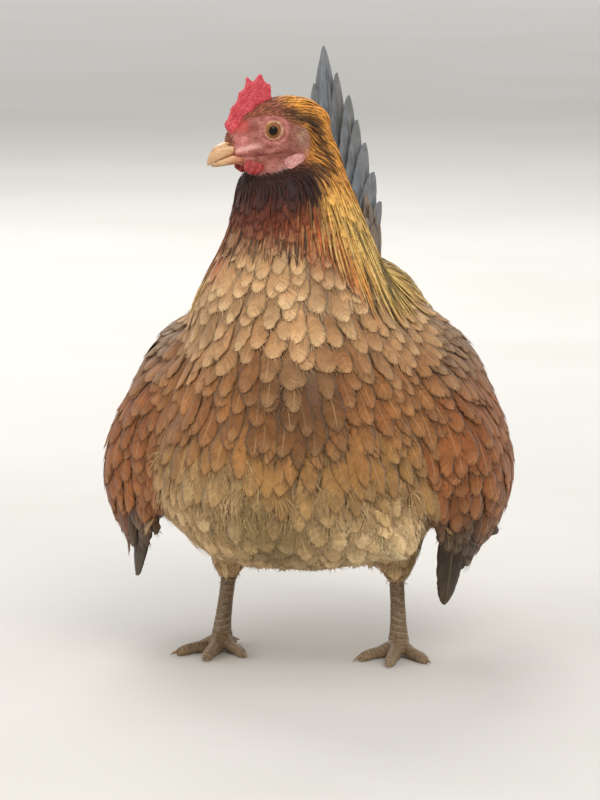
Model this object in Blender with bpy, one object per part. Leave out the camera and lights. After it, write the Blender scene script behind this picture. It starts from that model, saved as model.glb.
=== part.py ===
"""A life-size broody hen, standing with drooped wings and its head turned to its right.

Metres, +Z up. The hen faces -Y and its left side is +X. The origin is on the floor, in the
middle of the hen's outline seen from above. Tables of shape are in millimetres.
"""

import math

import bmesh
import bpy
import numpy as np
from mathutils import Matrix, Vector
from mathutils.bvhtree import BVHTree

MM = 0.001
GAP = 0.3 * MM  # clearance between neighbouring pieces

# Driving places of the head, in the hen's own millimetres: the middle of the eyes, and the bill's bearing.
HEAD_AT = Vector((-18.5, -50.0, 335.0))
HEAD_TURN = math.radians(54)  # from straight ahead, to the hen's right
EYE_SPREAD = 10.8  # each eyeball's centre from the middle of the head
EYE_RADIUS = 5.4
NECK_TOP = Vector((-5.0, -42.0, 303.0))
NECK_BASE = Vector((0.0, -30.0, 232.0))
STANCE = 56.0  # each foot from the middle
ANKLE_HEIGHT = 13.0
FOOT_AHEAD = 7.0  # the ankle's place along Y
TAIL_ROOT = Vector((-2.0, 110.0, 228.0))
TAIL_LEAN = math.radians(8)  # to the hen's right

COLOURS = {
    "plumage_brown": ((0.42, 0.23, 0.12), 0.75),
    "plumage_breast": ((0.62, 0.40, 0.24), 0.75),
    "plumage_gold": ((0.66, 0.37, 0.12), 0.65),
    "plumage_crown": ((0.30, 0.15, 0.10), 0.75),
    "plumage_dark": ((0.10, 0.08, 0.07), 0.6),
    "plumage_slate": ((0.17, 0.17, 0.18), 0.55),
    "plumage_buff": ((0.66, 0.49, 0.32), 0.8),
    "comb_red": ((0.70, 0.06, 0.06), 0.5),
    "ear_lobe_pink": ((0.72, 0.42, 0.40), 0.6),
    "bill_horn": ((0.72, 0.50, 0.28), 0.4),
    "eye_amber": ((0.62, 0.30, 0.06), 0.1),
    "leg_scales": ((0.42, 0.34, 0.25), 0.5),
    "claw_horn": ((0.30, 0.22, 0.15), 0.4),
}

# The trunk, bottom to top: height, half width, furthest forward, furthest back.
TRUNK = [
    (55, 26, -38, 38),
    (58, 48, -60, 64),
    (65, 66, -79, 86),
    (76, 79, -98, 104),
    (90, 89, -111, 117),
    (107, 95, -118, 128),
    (127, 97, -121, 135),
    (147, 95, -119, 139),
    (167, 91, -115, 141),
    (187, 85, -109, 139),
    (207, 77, -101, 133),
    (224, 68, -92, 122),
    (238, 57, -78, 105),
    (247, 43, -58, 84),
    (251, 24, -36, 58),
]
# The neck, bottom to top: middle in X, in Y, height, half width, half depth.
NECK = [
    (0, -22, 180, 44, 46),
    (-1, -24, 198, 64, 64),
    (-2.5, -26, 214, 68.5, 67),
    (-3, -27, 229, 65, 63),
    (-1.5, -30, 244, 57.5, 55),
    (-0.3, -34, 258, 51.3, 46),
    (0.2, -36, 273, 45.8, 41),
    (-1.2, -37, 289, 40.2, 37),
    (-1.6, -37, 303, 35.6, 32),
    (3, -34, 313, 27, 22.5),
    (6, -31, 322, 20, 16),
    (6, -31, 332, 13, 11),
    (6, -31, 338, 6, 5),
]
# The feathered head along its own axis: ahead of the eyes, half width, top, bottom.
HEAD = [
    (27, 5.6, -7.6, -19.0),
    (22, 7.4, -1.5, -21.5),
    (16, 9.6, 7.0, -24.0),
    (8, 12.2, 14.5, -26.5),
    (-1, 14.0, 19.0, -28.0),
    (-11, 15.8, 21.0, -28.5),
    (-22, 17.4, 20.5, -27.0),
    (-32, 16.8, 18.0, -22.0),
    (-40, 13.0, 12.5, -15.0),
    (-45, 6.0, 5.0, -8.0),
]
# The bill's halves: ahead of the eyes, half width, top, bottom. The tip bends down.
BILL_TOP = [
    (17, 6.8, -5.0, -15.4),
    (23, 6.2, -8.0, -18.2),
    (28, 4.9, -9.6, -20.0),
    (33, 3.3, -12.0, -21.8),
    (36.6, 1.8, -16.2, -23.4),
    (38.4, 0.5, -21.4, -24.0),
]
BILL_LOW = [
    (15, 6.4, -12.0, -22.8),
    (22, 5.8, -14.6, -23.6),
    (28, 4.5, -17.0, -24.2),
    (33, 2.9, -19.6, -24.5),
    (35.6, 1.2, -21.6, -24.6),
]
# How far out each wing bulges at each height: the left one, and the right one, which hangs looser.
WING_OUTLINE = [
    (20, 84, 102),
    (40, 96, 110),
    (55, 104, 116),
    (73, 116, 125),
    (94, 125, 131),
    (114, 128.5, 133.5),
    (135, 126, 129.5),
    (152, 119, 121.5),
    (164, 113.5, 115),
    (182, 105.5, 107),
    (199, 96, 101),
    (215, 91, 93),
    (228, 80, 80),
    (239, 67, 67),
    (247, 60, 60),
]
# The wing's edge seen from the side, round (20, 140): bearing from straight back, rising, and reach.
WING_REACH = [118, 112, 98, 91, 90, 92, 91, 86, 81, 80, 87, 104]
# The tips of the half fan of tail feathers, from the tail's root: aside, back and up.
TAIL_TIPS = [
    (1, 66, 139),
    (8, 61, 121),
    (15, 55, 106),
    (19, 50, 90),
    (23, 45, 75),
    (27, 39, 56),
    (30, 33, 37),
]
# How many triangles each made body keeps before its neighbours are cut from it.
FLESH_TRIANGLES = {"body": 950, "head": 525}


def smooth_rows(rows, steps):
    """The rows with steps - 1 more between each pair, along a Catmull-Rom curve through them all."""
    rows = [np.array(row, float) for row in rows]
    padded = [2 * rows[0] - rows[1], *rows, 2 * rows[-1] - rows[-2]]
    found = []
    for a, b, c, d in zip(padded, padded[1:], padded[2:], padded[3:]):
        for k in range(steps):
            t = k / steps
            found.append(
                0.5
                * (
                    2 * b
                    + (c - a) * t
                    + (2 * a - 5 * b + 4 * c - d) * t**2
                    + (3 * b - 3 * c + d - a) * t**3
                )
            )
    return [*found, rows[-1]]


def ring(centre, side, up, half_side, above, below, square=2.0, count=20):
    """A closed ring of points, with its own reach above and below its centre. square 2 is an ellipse."""
    points = []
    for k in range(count):
        angle = math.tau * k / count
        across = math.copysign(abs(math.cos(angle)) ** (2 / square), math.cos(angle))
        along = math.copysign(abs(math.sin(angle)) ** (2 / square), math.sin(angle))
        reach = above if along >= 0 else below
        points.append(centre + side * (half_side * across) + up * (reach * along))
    return points


def mesh_of(points, faces):
    """A closed mesh in metres from points in millimetres, with its faces turned outwards."""
    bm = bmesh.new()
    verts = [bm.verts.new(Vector(p) * MM) for p in points]
    for face in faces:
        bm.faces.new([verts[i] for i in face])
    return finished(bm)


def finished(bm):
    bmesh.ops.triangulate(bm, faces=bm.faces)
    bmesh.ops.recalc_face_normals(bm, faces=bm.faces)
    mesh = bpy.data.meshes.new("shape")
    bm.to_mesh(mesh)
    bm.free()
    return mesh


def loft(rings):
    """A closed mesh through the rings, each end closed round its middle point."""
    count = len(rings[0])
    points = [p for one in rings for p in one]
    faces = []
    for row in range(len(rings) - 1):
        for k in range(count):
            a, b = row * count + k, row * count + (k + 1) % count
            faces.append((a, b, b + count, a + count))
    for row in (0, len(rings) - 1):
        middle = len(points)
        points.append(sum(rings[row], Vector()) / count)
        faces += [(row * count + k, row * count + (k + 1) % count, middle) for k in range(count)]
    return mesh_of(points, faces)


def moved(mesh, matrix):
    """A copy of the mesh under that matrix, whose moves are in metres."""
    bm = bmesh.new()
    bm.from_mesh(mesh)
    bm.transform(matrix)
    return finished(bm)


def mirrored(mesh):
    return moved(mesh, Matrix.Diagonal((-1, 1, 1, 1)))


def joined(meshes):
    bm = bmesh.new()
    for mesh in meshes:
        bm.from_mesh(mesh)
    mesh = bpy.data.meshes.new("joined")
    bm.to_mesh(mesh)
    bm.free()
    return mesh


def grown(mesh, gap=GAP):
    """The mesh with its surface moved outwards by the gap."""
    bm = bmesh.new()
    bm.from_mesh(mesh)
    bm.normal_update()
    steps = [vert.normal * gap * min(vert.calc_shell_factor(), 2.0) for vert in bm.verts]
    for vert, step in zip(bm.verts, steps):
        vert.co += step
    return finished(bm)


def evaluated(mesh, modifiers):
    """The mesh after (type, settings) modifiers, which are applied here."""
    obj = bpy.data.objects.new("work", mesh)
    bpy.context.scene.collection.objects.link(obj)
    for kind, settings in modifiers:
        modifier = obj.modifiers.new(kind, kind)
        for name, value in settings.items():
            setattr(modifier, name, value)
    graph = bpy.context.evaluated_depsgraph_get()
    graph.update()
    made = bpy.data.meshes.new_from_object(obj.evaluated_get(graph))
    bpy.data.objects.remove(obj)
    return made


def largest_body(mesh):
    """Only the largest connected body of the mesh."""
    bm = bmesh.new()
    bm.from_mesh(mesh)
    bmesh.ops.remove_doubles(bm, verts=bm.verts, dist=1e-6)
    left, bodies = set(bm.verts), []
    while left:
        body, edge = set(), [next(iter(left))]
        while edge:
            vert = edge.pop()
            if vert in body:
                continue
            body.add(vert)
            edge += [e.other_vert(vert) for e in vert.link_edges]
        left -= body
        bodies.append(body)
    keep = max(bodies, key=len)
    bmesh.ops.delete(bm, geom=[v for v in bm.verts if v not in keep], context="VERTS")
    return finished(bm)


def merged(meshes, voxel, smoothing, triangles=None):
    """One closed body round all the meshes, smoothed, with about that many triangles."""
    whole = evaluated(
        joined(meshes),
        [
            ("REMESH", {"mode": "VOXEL", "voxel_size": voxel * MM}),
            ("SMOOTH", {"factor": 0.5, "iterations": smoothing}),
            ("TRIANGULATE", {}),
        ],
    )
    return fewer(whole, triangles) if triangles else largest_body(whole)


def fewer(mesh, triangles):
    """The same body with about that many triangles."""
    share = min(1.0, triangles / len(mesh.polygons))
    return largest_body(evaluated(mesh, [("DECIMATE", {"ratio": share}), ("TRIANGULATE", {})]))


def less(mesh, *cutters, gap=GAP):
    """The mesh with each cutter, grown by the gap, taken away."""
    for cutter in cutters:
        tool = bpy.data.objects.new("cutter", grown(cutter, gap))
        bpy.context.scene.collection.objects.link(tool)
        mesh = evaluated(
            mesh, [("BOOLEAN", {"operation": "DIFFERENCE", "solver": "EXACT", "object": tool})]
        )
        bpy.data.objects.remove(tool)
    return largest_body(mesh)


def simpler(mesh):
    """The same surface with neighbouring triangles of one plane joined, then split as few as they can be."""
    bm = bmesh.new()
    bm.from_mesh(mesh)
    limit = math.radians(0.6)
    bmesh.ops.dissolve_limit(bm, angle_limit=limit, verts=bm.verts, edges=bm.edges)
    return finished(bm)


def half(mesh, point, normal):
    """The part of the mesh on the side that the normal points to, short of the plane by half a gap."""
    size = 0.6
    way = Vector(normal).normalized()
    bm = bmesh.new()
    bmesh.ops.create_cube(bm, size=size)
    place = Vector(point) * MM + way * (GAP - size) / 2
    bm.transform(Matrix.Translation(place) @ way.to_track_quat("X", "Z").to_matrix().to_4x4())
    return less(mesh, finished(bm), gap=0)


def head_point(ahead, aside, up):
    """A place given from the middle of the eyes: ahead along the bill, to the hen's left, and up."""
    forward = Vector((-math.sin(HEAD_TURN), -math.cos(HEAD_TURN), 0))
    left = Vector((math.cos(HEAD_TURN), -math.sin(HEAD_TURN), 0))
    return HEAD_AT + forward * ahead + left * aside + Vector((0, 0, up))


def along_head(rows, steps=3, square=2.0, count=20):
    """A loft along the head's axis from rows of ahead, half width, top and bottom."""
    left = head_point(0, 1, 0) - HEAD_AT
    up = Vector((0, 0, 1))
    rings = []
    for ahead, wide, top, low in smooth_rows(rows, steps):
        middle = (top + low) / 2
        tall = (top - low) / 2
        rings.append(
            ring(head_point(ahead, 0, middle), left, up, wide, tall, tall, square, count)
        )
    return loft(rings)


def ball(centre, radii, turn=None, segments=16, rings=10):
    """An ellipsoid with those three radii, turned by a matrix."""
    bm = bmesh.new()
    bmesh.ops.create_uvsphere(bm, u_segments=segments, v_segments=rings, radius=MM)
    size = Matrix.Diagonal((*radii, 1))
    bm.transform(Matrix.Translation(centre * MM) @ (turn or Matrix()) @ size)
    return finished(bm)


def bearing(direction, up=(0, 0, 1)):
    """A rotation that takes +X along the direction, with +Z as near up as it can be."""
    x = Vector(direction).normalized()
    y = Vector(up).cross(x).normalized()
    return Matrix((x, y, x.cross(y))).transposed().to_4x4()


def trunk_shape():
    rings = []
    for z, wide, front, back in smooth_rows(TRUNK, 2):
        middle = front * 0.53 + back * 0.47
        across, behind = Vector((1, 0, 0)), Vector((0, 1, 0))
        centre = Vector((0, middle, z))
        rings.append(ring(centre, across, behind, wide, back - middle, middle - front, 2.1, 32))
    return loft(rings)


def neck_shape():
    rings = []
    for x, y, z, wide, deep in smooth_rows(NECK, 2):
        across, back = Vector((1, 0, 0)), Vector((0, 1, 0))
        rings.append(ring(Vector((x, y, z)), across, back, wide, deep, deep, 2.0, 28))
    return loft(rings)


def flesh():
    """Trunk, neck and feathered head as one fine body."""
    shapes = [trunk_shape(), neck_shape(), along_head(HEAD, square=2.2)]
    turn = bearing(head_point(1, 0, 0) - HEAD_AT)
    for side in (-1, 1):
        # The bare skin swells round each eye, and under it along the cheek.
        shapes.append(ball(head_point(0, side * 8.6, 0), (8.8, 5.9, 8.2), turn))
        shapes.append(ball(head_point(-9, side * 8.5, -13), (10, 7.6, 7.5), turn))
    # The rump swells up towards the tail.
    shapes.append(ball(Vector((-1, 74, 209)), (66, 53, 40), bearing((0, 1, 0.06)), 28, 18))
    return merged(shapes, 1.9, 8)


def blade(root, tip, wide, thick, flat_normal, bend=0.0, stations=8, count=8):
    """One stiff feather from root to tip: a thin leaf with a rounded end, bent along its flat side."""
    root, tip = Vector(root), Vector(tip)
    along = (tip - root).normalized()
    normal = Vector(flat_normal)
    normal = (normal - along * normal.dot(along)).normalized()
    across = along.cross(normal)
    length = (tip - root).length
    rings = []
    for k in range(stations + 1):
        t = k / stations
        t = 1 - (1 - t) ** 1.5
        place = root + along * (length * t) + normal * (bend * length * 4 * t * (1 - t))
        share = math.sqrt(max(0.02, 1 - max(0.0, (t - 0.72) / 0.28) ** 2)) * (0.62 + 0.38 * min(1, t * 2.4))
        rings.append(ring(place, across, normal, wide / 2 * share, thick / 2, thick / 2, 2.0, count))
    return loft(rings)


def tail_shape():
    """Seven pairs of tail feathers, folded like a steep roof, over the coverts round their roots."""
    lean = Matrix.Rotation(-TAIL_LEAN, 3, "Y")
    blades = []
    for side in (-1, 1):
        for k, (aside, behind, up) in enumerate(TAIL_TIPS):
            root = TAIL_ROOT + lean @ Vector((side * (1.5 + 2.3 * k), -12 - 1.0 * k, -8 - 2.5 * k))
            tip = TAIL_ROOT + lean @ Vector((side * aside, behind, up - (5 if side < 0 else 0)))
            blades.append(blade(root, tip, 27 - k, 3.4, (side, -0.42, 0.15), 0.02))
    low, high = bearing((0, 1, 0.2)), bearing((-0.1, 0.62, 1), (0, -1, 0.6))
    coverts = [
        ball(TAIL_ROOT + Vector((0, -8, -8)), (32, 30, 26), low, 20, 12),
        ball(TAIL_ROOT + Vector((-2, 6, 14)), (38, 19, 22), high, 20, 12),
    ]
    return merged([*blades, *coverts], 1.5, 2, 770)


def outline_at(side, height):
    heights, left, right = zip(*WING_OUTLINE)
    return float(np.interp(height, heights, left if side > 0 else right))


def wing_side(side, y, z):
    """How far out the wing's outer face bulges at that place along the body and height."""
    ahead = max(0.0, 15 - y) / 45
    behind = max(0.0, y - 25) / 130
    return outline_at(side, z) * (1 - 0.04 * ahead**2 - 0.40 * behind**1.6)


def side_of(tree, side, y, z):
    """How far out that solid's left or right side is at a place along the body and height, or None."""
    hit = tree.ray_cast(Vector((side * 0.5, y * MM, z * MM)), Vector((-side, 0, 0)))
    return hit[0].x * side / MM if hit[0] and hit[0].x * side > 0 else None


def ease(low, high, value):
    t = min(1.0, max(0.0, (value - low) / (high - low)))
    return t * t * (3 - 2 * t)


def wing_shape(trunk, side):
    """One wing: a bulged shield of coverts, tucked against the body above and ahead, free below."""
    tree = BVHTree.FromPolygons([v.co for v in trunk.vertices], [tuple(p.vertices) for p in trunk.polygons])
    rings_out, spokes = 6, 24
    points, faces = [], []
    reaches = [*WING_REACH, WING_REACH[0]]
    for inner in (0, 1):
        for r in range(1, rings_out + 1):
            rho = r / rings_out
            for k in range(spokes):
                turn = k / spokes
                reach = float(np.interp(turn * 12, range(13), reaches)) * rho
                angle = math.tau * turn
                y, z = 20 + reach * math.cos(angle), 140 + reach * math.sin(angle)
                out = wing_side(side, y, z) - 5.0 * rho**5
                # 1 along the upper and front edge, 0 along the free lower edge.
                tuck = ease(0.0, 0.10, turn) * (1 - ease(0.54, 0.70, turn))
                body = side_of(tree, side, y, z)
                if body:
                    # Above, the shoulder stands out like a shelf; ahead, the wing slips in gently.
                    above = ease(150, 190, z)
                    share = ease(0.45 + 0.17 * above, 1.0 - 0.05 * above, rho) ** 1.6
                    out += (min(out, body - 9.0) - out) * tuck * share
                thick = 2.2 + 26 * (1 - rho**3)
                points.append(Vector((out - (thick if inner else 0), y, z)))
    layer = rings_out * spokes
    for face in (0, 1):
        for r in range(rings_out - 1):
            for k in range(spokes):
                a = face * layer + r * spokes + k
                b = face * layer + r * spokes + (k + 1) % spokes
                faces.append((a, b, b + spokes, a + spokes))
        middle = len(points)
        points.append(Vector((wing_side(side, 20, 140) - face * 28, 20, 140)))
        for k in range(spokes):
            faces.append((face * layer + k, face * layer + (k + 1) % spokes, middle))
    for k in range(spokes):
        a, b = layer - spokes + k, layer - spokes + (k + 1) % spokes
        faces.append((a, b, b + layer, a + layer))
    shape = mesh_of(points, faces)
    return shape if side > 0 else mirrored(shape)


def flight_shape(side, tip_out, tip_low):
    """Eight primaries and seven secondaries that hang under the wing's coverts, down and back."""
    blades = []
    primaries, secondaries = 8, 7
    for k in range(primaries):
        t = k / (primaries - 1)
        root = Vector((side * (95 + 9 * t), -22 + 34 * t, 98 + 7 * t))
        tip = Vector((side * (tip_out + 3 * t), 14 + 74 * t, tip_low + 27 * t))
        blades.append(blade(root, tip, 19, 3.4, (side, 0.1, 0.35), 0.03))
    for k in range(secondaries):
        t = k / (secondaries - 1)
        root = Vector((side * (104 - 6 * t), 14 + 48 * t, 104 + 8 * t))
        tip = Vector((side * (tip_out + 3 - 16 * t), 96 + 56 * t, tip_low + 32 + 34 * t))
        blades.append(blade(root, tip, 22, 3.4, (side, 0.2, 0.35), 0.03))
    return merged(blades, 1.6, 1, 360)


def thigh_shape(side):
    rows = [
        (44, 27, 92, 24, 30),
        (47, 25, 76, 25, 30),
        (51, 22, 60, 22, 25),
        (53, 18, 47, 15, 17),
        (54, 16, 38, 9, 10),
        (54, 15, 34.5, 6.5, 7),
    ]
    rings = []
    for x, y, z, wide, deep in smooth_rows(rows, 1):
        centre = Vector((side * x, y, z))
        rings.append(ring(centre, Vector((1, 0, 0)), Vector((0, 1, 0)), wide, deep, deep, 2, 14))
    return loft(rings)


def shank_shape(side):
    """The bare, scaled shank, from inside the thigh's feathers down to the ankle."""
    rows = [
        (52, 20, 62, 5.4, 6.2),
        (53, 17.5, 48, 4.6, 5.4),
        (54.5, 13.5, 32, 4.5, 5.3),
        (55.5, 10, 20, 5.0, 5.8),
        (56, FOOT_AHEAD + 1, ANKLE_HEIGHT, 5.8, 6.4),
    ]
    rings = []
    for x, y, z, wide, deep in smooth_rows(rows, 1):
        centre = Vector((side * x, y, z))
        rings.append(ring(centre, Vector((1, 0, 0)), Vector((0, 1, 0)), wide, deep, deep, 2, 12))
    return loft(rings)


# Each toe: bearing from straight ahead towards the outside in degrees, length, thickness.
TOES = {"inner": (-33, 36, 7.2), "middle": (2, 46, 8.0), "outer": (36, 38, 7.2), "hind": (196, 19, 6.0)}


def toe_way(side, degrees):
    angle = math.radians(degrees)
    return Vector((side * math.sin(angle), -math.cos(angle), 0))


def toe_line(side, name):
    """The toe's joints, knuckle to nail, and its thickness there."""
    degrees, length, thick = TOES[name]
    way = toe_way(side, degrees)
    start = Vector((side * STANCE, FOOT_AHEAD, ANKLE_HEIGHT - 3))
    rows = []
    for t, height, share in (
        (0.0, 8.5, 1.15),
        (0.22, 6.2, 1.06),
        (0.45, 4.0, 1.0),
        (0.65, 4.1, 0.86),
        (0.83, 3.3, 0.88),
        (1.0, 2.6, 0.62),
    ):
        place = start + way * (length * t)
        rows.append((place.x, place.y, height * (0.55 + 0.45 * thick / 8), thick / 2 * share))
    return way, rows


def foot_shape(side):
    shapes = []
    for name in TOES:
        way, rows = toe_line(side, name)
        across = way.cross(Vector((0, 0, 1)))
        rings = []
        for x, y, z, radius in smooth_rows(rows, 3):
            rings.append(
                ring(Vector((x, y, z)), across, Vector((0, 0, 1)), radius, radius, radius + 0.6, 2, 12)
            )
        shapes.append(loft(rings))
    ankle = Vector((side * STANCE, FOOT_AHEAD + 1, 9))
    shapes.append(ball(ankle, (6.6, 7.2, 7.5)))
    whole = merged(shapes, 0.8, 3, 340)
    below = half(whole, (0, 0, ANKLE_HEIGHT - 0.6), (0, 0, -1))
    # Flats on the toes' pads, all at the floor's level.
    return half(below, (0, 0, -GAP / 2 / MM), (0, 0, 1))


def claw_shape(side, name):
    way, rows = toe_line(side, name)
    x, y, z, radius = rows[-1]
    across = way.cross(Vector((0, 0, 1)))
    rings = []
    steps = 4
    for k in range(steps + 1):
        t = k / steps
        place = Vector((x, y, z + 0.9)) + way * (9 * t - 2.5)
        place.z -= 1.9 * t * t
        reach = radius * 0.66 * (1 - t) ** 0.75 + 0.3
        rings.append(ring(place, across, Vector((0, 0, 1)), reach * 0.8, reach, reach, 2, 6))
    return loft(rings)


def comb_shape():
    """A small single comb: a low blade from the bill's root up the forehead, with a few points behind."""
    # Each point: where its tip is ahead of the eyes and above them.
    tips = [(27.5, 0.5), (22.5, 11.0), (16.8, 21.0), (11.8, 31.0), (2.2, 32.5), (-4.6, 25.0)]
    notches = [(22.8, 6.0), (17.6, 15.0), (12.6, 22.5), (7.4, 25.5), (-0.5, 25.5)]
    front, back = [(24.5, -9.0)], [(-3.5, 17.0)]
    upper = [*front, tips[0]]
    for notch, tip in zip(notches, tips[1:]):
        upper += [notch, tip]
    upper += back
    lower = [(6.0, 8.0), (16.0, 0.0), (20.0, -8.0)]
    outline = rounded(upper + lower)
    points, faces = [], []
    count = len(outline)
    for aside in (-1, 1):
        for ahead, up in outline:
            rise = up - (12 - 0.55 * (ahead - 2))
            thick = 1.9 - 0.055 * max(0.0, rise)
            points.append(head_point(ahead, aside * max(0.8, thick), up))
    faces += [(k, (k + 1) % count, count + (k + 1) % count, count + k) for k in range(count)]
    faces.append(tuple(range(count)))
    faces.append(tuple(range(count, 2 * count)))
    return mesh_of(points, faces)


def rounded(corners):
    """The outline with each corner cut by a short curve."""
    found = []
    count = len(corners)
    for k in range(count):
        before, here, after = (Vector(corners[(k + d) % count]) for d in (-1, 0, 1))
        a, b = here.lerp(before, 0.3), here.lerp(after, 0.3)
        for t in (0.15, 0.85):
            found.append(a.lerp(here, t).lerp(here.lerp(b, t), t))
    return found


def wattle_shape(side):
    turn = bearing(head_point(1, 0, -0.25) - HEAD_AT)
    return ball(head_point(10.5, side * 6.8, -25.5), (7.6, 2.0, 7.0), turn, 10, 6)


def ear_lobe_shape(side):
    turn = bearing(head_point(1, 0.05 * side, 0.45) - HEAD_AT)
    return ball(head_point(-14.5, side * 17.6, -19.0), (6.6, 2.4, 4.6), turn, 10, 6)


def eye_shape(side):
    return ball(head_point(0, side * EYE_SPREAD, 0), (EYE_RADIUS,) * 3, segments=14, rings=9)


def node(name, mesh, finish, angle=40):
    mesh = simpler(mesh)
    obj = bpy.data.objects.new(name, mesh)
    mesh.name = name
    mesh.materials.clear()
    mesh.materials.append(material(finish))
    bpy.context.scene.collection.objects.link(obj)
    mesh.shade_smooth()
    mesh.set_sharp_from_angle(angle=math.radians(angle))
    return obj


def material(finish):
    found = bpy.data.materials.get(finish)
    if found:
        return found
    made = bpy.data.materials.new(finish)
    made.use_nodes = True
    colour, roughness = COLOURS[finish]
    shader = made.node_tree.nodes["Principled BSDF"]
    shader.inputs["Base Color"].default_value = (*colour, 1)
    shader.inputs["Roughness"].default_value = roughness
    return made


def build_body():
    """Trunk, neck and head from one smooth body, parted by planes, and the tail set in the rump."""
    neck_way = Vector((0, -0.5, 1))
    head_cut = (HEAD_AT - NECK_TOP).normalized() + Vector((-0.25, -0.2, 1.0))
    fine = flesh()
    body = fewer(fine, FLESH_TRIANGLES["body"])
    tail = tail_shape()
    thighs = {side: thigh_shape(side) for side in (-1, 1)}
    trunk = half(body, NECK_BASE, -neck_way)
    neck = half(half(body, NECK_BASE, neck_way), NECK_TOP, -head_cut)
    trunk = less(trunk, tail, thighs[-1], thighs[1])
    neck = less(neck, tail)
    # The head keeps more detail than the rest, so it is cut from a finer copy of the same body.
    below = NECK_TOP - head_cut.normalized() * 4
    head = fewer(half(fine, below, head_cut), FLESH_TRIANGLES["head"])
    head = half(head, NECK_TOP, head_cut)
    node("trunk", trunk, "plumage_breast")
    node("neck", neck, "plumage_gold")
    node("tail", tail, "plumage_slate")
    return trunk, head, thighs


def build_head(head):
    bill_top, bill_low = along_head(BILL_TOP, 2, 2.0, 12), along_head(BILL_LOW, 1, 2.0, 12)
    bill_low = less(bill_low, bill_top)
    eyes = {"right": eye_shape(-1), "left": eye_shape(1)}
    head = less(head, bill_top, bill_low, *eyes.values())
    node("head", head, "plumage_crown")
    node("bill_upper", bill_top, "bill_horn")
    node("bill_lower", bill_low, "bill_horn")
    comb = less(comb_shape(), head, bill_top)
    node("comb", comb, "comb_red")
    for name, side in (("right", -1), ("left", 1)):
        node(f"eye_{name}", eyes[name], "eye_amber")
        node(f"wattle_{name}", less(wattle_shape(side), head, bill_low), "comb_red")
        node(f"ear_lobe_{name}", less(ear_lobe_shape(side), head), "ear_lobe_pink")


def build_wings(trunk):
    # The hen's left wing tip hangs lower and closer to the body than the right one.
    for name, side, flight in (
        ("left", 1, flight_shape(1, 84, 17)),
        ("right", -1, flight_shape(-1, 112, 30)),
    ):
        wing = less(wing_shape(trunk, side), trunk)
        node(f"wing_{name}", wing, "plumage_brown")
        node(f"flight_feathers_{name}", less(flight, trunk, wing), "plumage_dark")


def build_leg(name, side, thigh):
    shank = shank_shape(side)
    foot = foot_shape(side)
    node(f"thigh_{name}", less(thigh, shank), "plumage_buff")
    node(f"shank_{name}", shank, "leg_scales")
    node(f"foot_{name}", foot, "leg_scales")
    for toe in TOES:
        claw = less(claw_shape(side, toe), foot)
        node(f"claw_{name}_{toe}", claw, "claw_horn")


def stand_on_origin():
    """Moves every piece so that the outline's middle is at X 0 and Y 0, and the toes' flats are at Z 0."""
    bpy.context.view_layer.update()
    corners = [Vector(c) for obj in bpy.context.scene.objects for c in obj.bound_box]
    low = [min(c[k] for c in corners) for k in range(3)]
    high = [max(c[k] for c in corners) for k in range(3)]
    shift = Vector((-(low[0] + high[0]) / 2, -(low[1] + high[1]) / 2, -low[2]))
    for obj in bpy.context.scene.objects:
        obj.data.transform(Matrix.Translation(shift))


def main():
    for obj in list(bpy.data.objects):
        bpy.data.objects.remove(obj)
    trunk, head, thighs = build_body()
    build_head(head)
    build_wings(trunk)
    for name, side in (("right", -1), ("left", 1)):
        build_leg(name, side, thighs[side])
    stand_on_origin()


main()
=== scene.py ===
"""The looks of a life-size hen: one skin, feather by feather plumage, bill, eyes, comb, legs and feet.

The shape code works in the hen's own millimetres: it faces -Y, its left side is +X, and the middle
of its eyes is at HEAD_AT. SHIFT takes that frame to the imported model's, in metres.
"""

import math

import bpy
import numpy as np
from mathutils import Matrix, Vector
from mathutils.bvhtree import BVHTree
from mathutils.kdtree import KDTree


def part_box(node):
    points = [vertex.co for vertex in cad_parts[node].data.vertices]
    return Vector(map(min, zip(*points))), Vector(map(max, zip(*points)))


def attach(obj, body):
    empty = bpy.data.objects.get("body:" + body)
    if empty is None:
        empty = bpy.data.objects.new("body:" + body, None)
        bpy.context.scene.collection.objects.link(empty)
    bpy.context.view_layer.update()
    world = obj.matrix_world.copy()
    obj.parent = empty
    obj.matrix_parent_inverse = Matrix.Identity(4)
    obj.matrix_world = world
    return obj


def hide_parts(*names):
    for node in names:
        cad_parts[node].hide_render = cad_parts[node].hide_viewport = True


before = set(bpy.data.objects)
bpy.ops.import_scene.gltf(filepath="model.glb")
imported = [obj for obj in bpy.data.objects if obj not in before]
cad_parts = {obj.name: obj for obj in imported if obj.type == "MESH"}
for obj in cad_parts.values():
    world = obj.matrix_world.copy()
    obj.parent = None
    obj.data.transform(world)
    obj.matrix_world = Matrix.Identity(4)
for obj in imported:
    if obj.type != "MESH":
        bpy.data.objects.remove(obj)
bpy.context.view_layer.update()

MM = 0.001
PATCH = 0.003  # the width of one feather's patch on the OFBake map
HEAD_AT = np.array((-18.5, -50.0, 335.0))
UP = np.array((0.0, 0.0, 1.0))
EYE_RADIUS = 5.4
EYE_DROP = 2.2  # the eyes sit this far below the middle of the head's frame
NECK_AXIS = np.array((1.0, -33.0))
TAIL_ROOT = np.array((-2.0, 110.0, 228.0))
TAIL_LEAN = math.radians(8)
# The tips of the half fan of tail feathers, from the tail's root: aside, back and up.
TAIL_TIPS = (
    (1, 66, 139), (8, 61, 121), (15, 55, 106), (19, 50, 90), (23, 45, 75), (27, 39, 56), (30, 33, 37),
)


def node_middle(name):
    low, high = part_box(name)
    return np.array((low + high) / 2)


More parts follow.
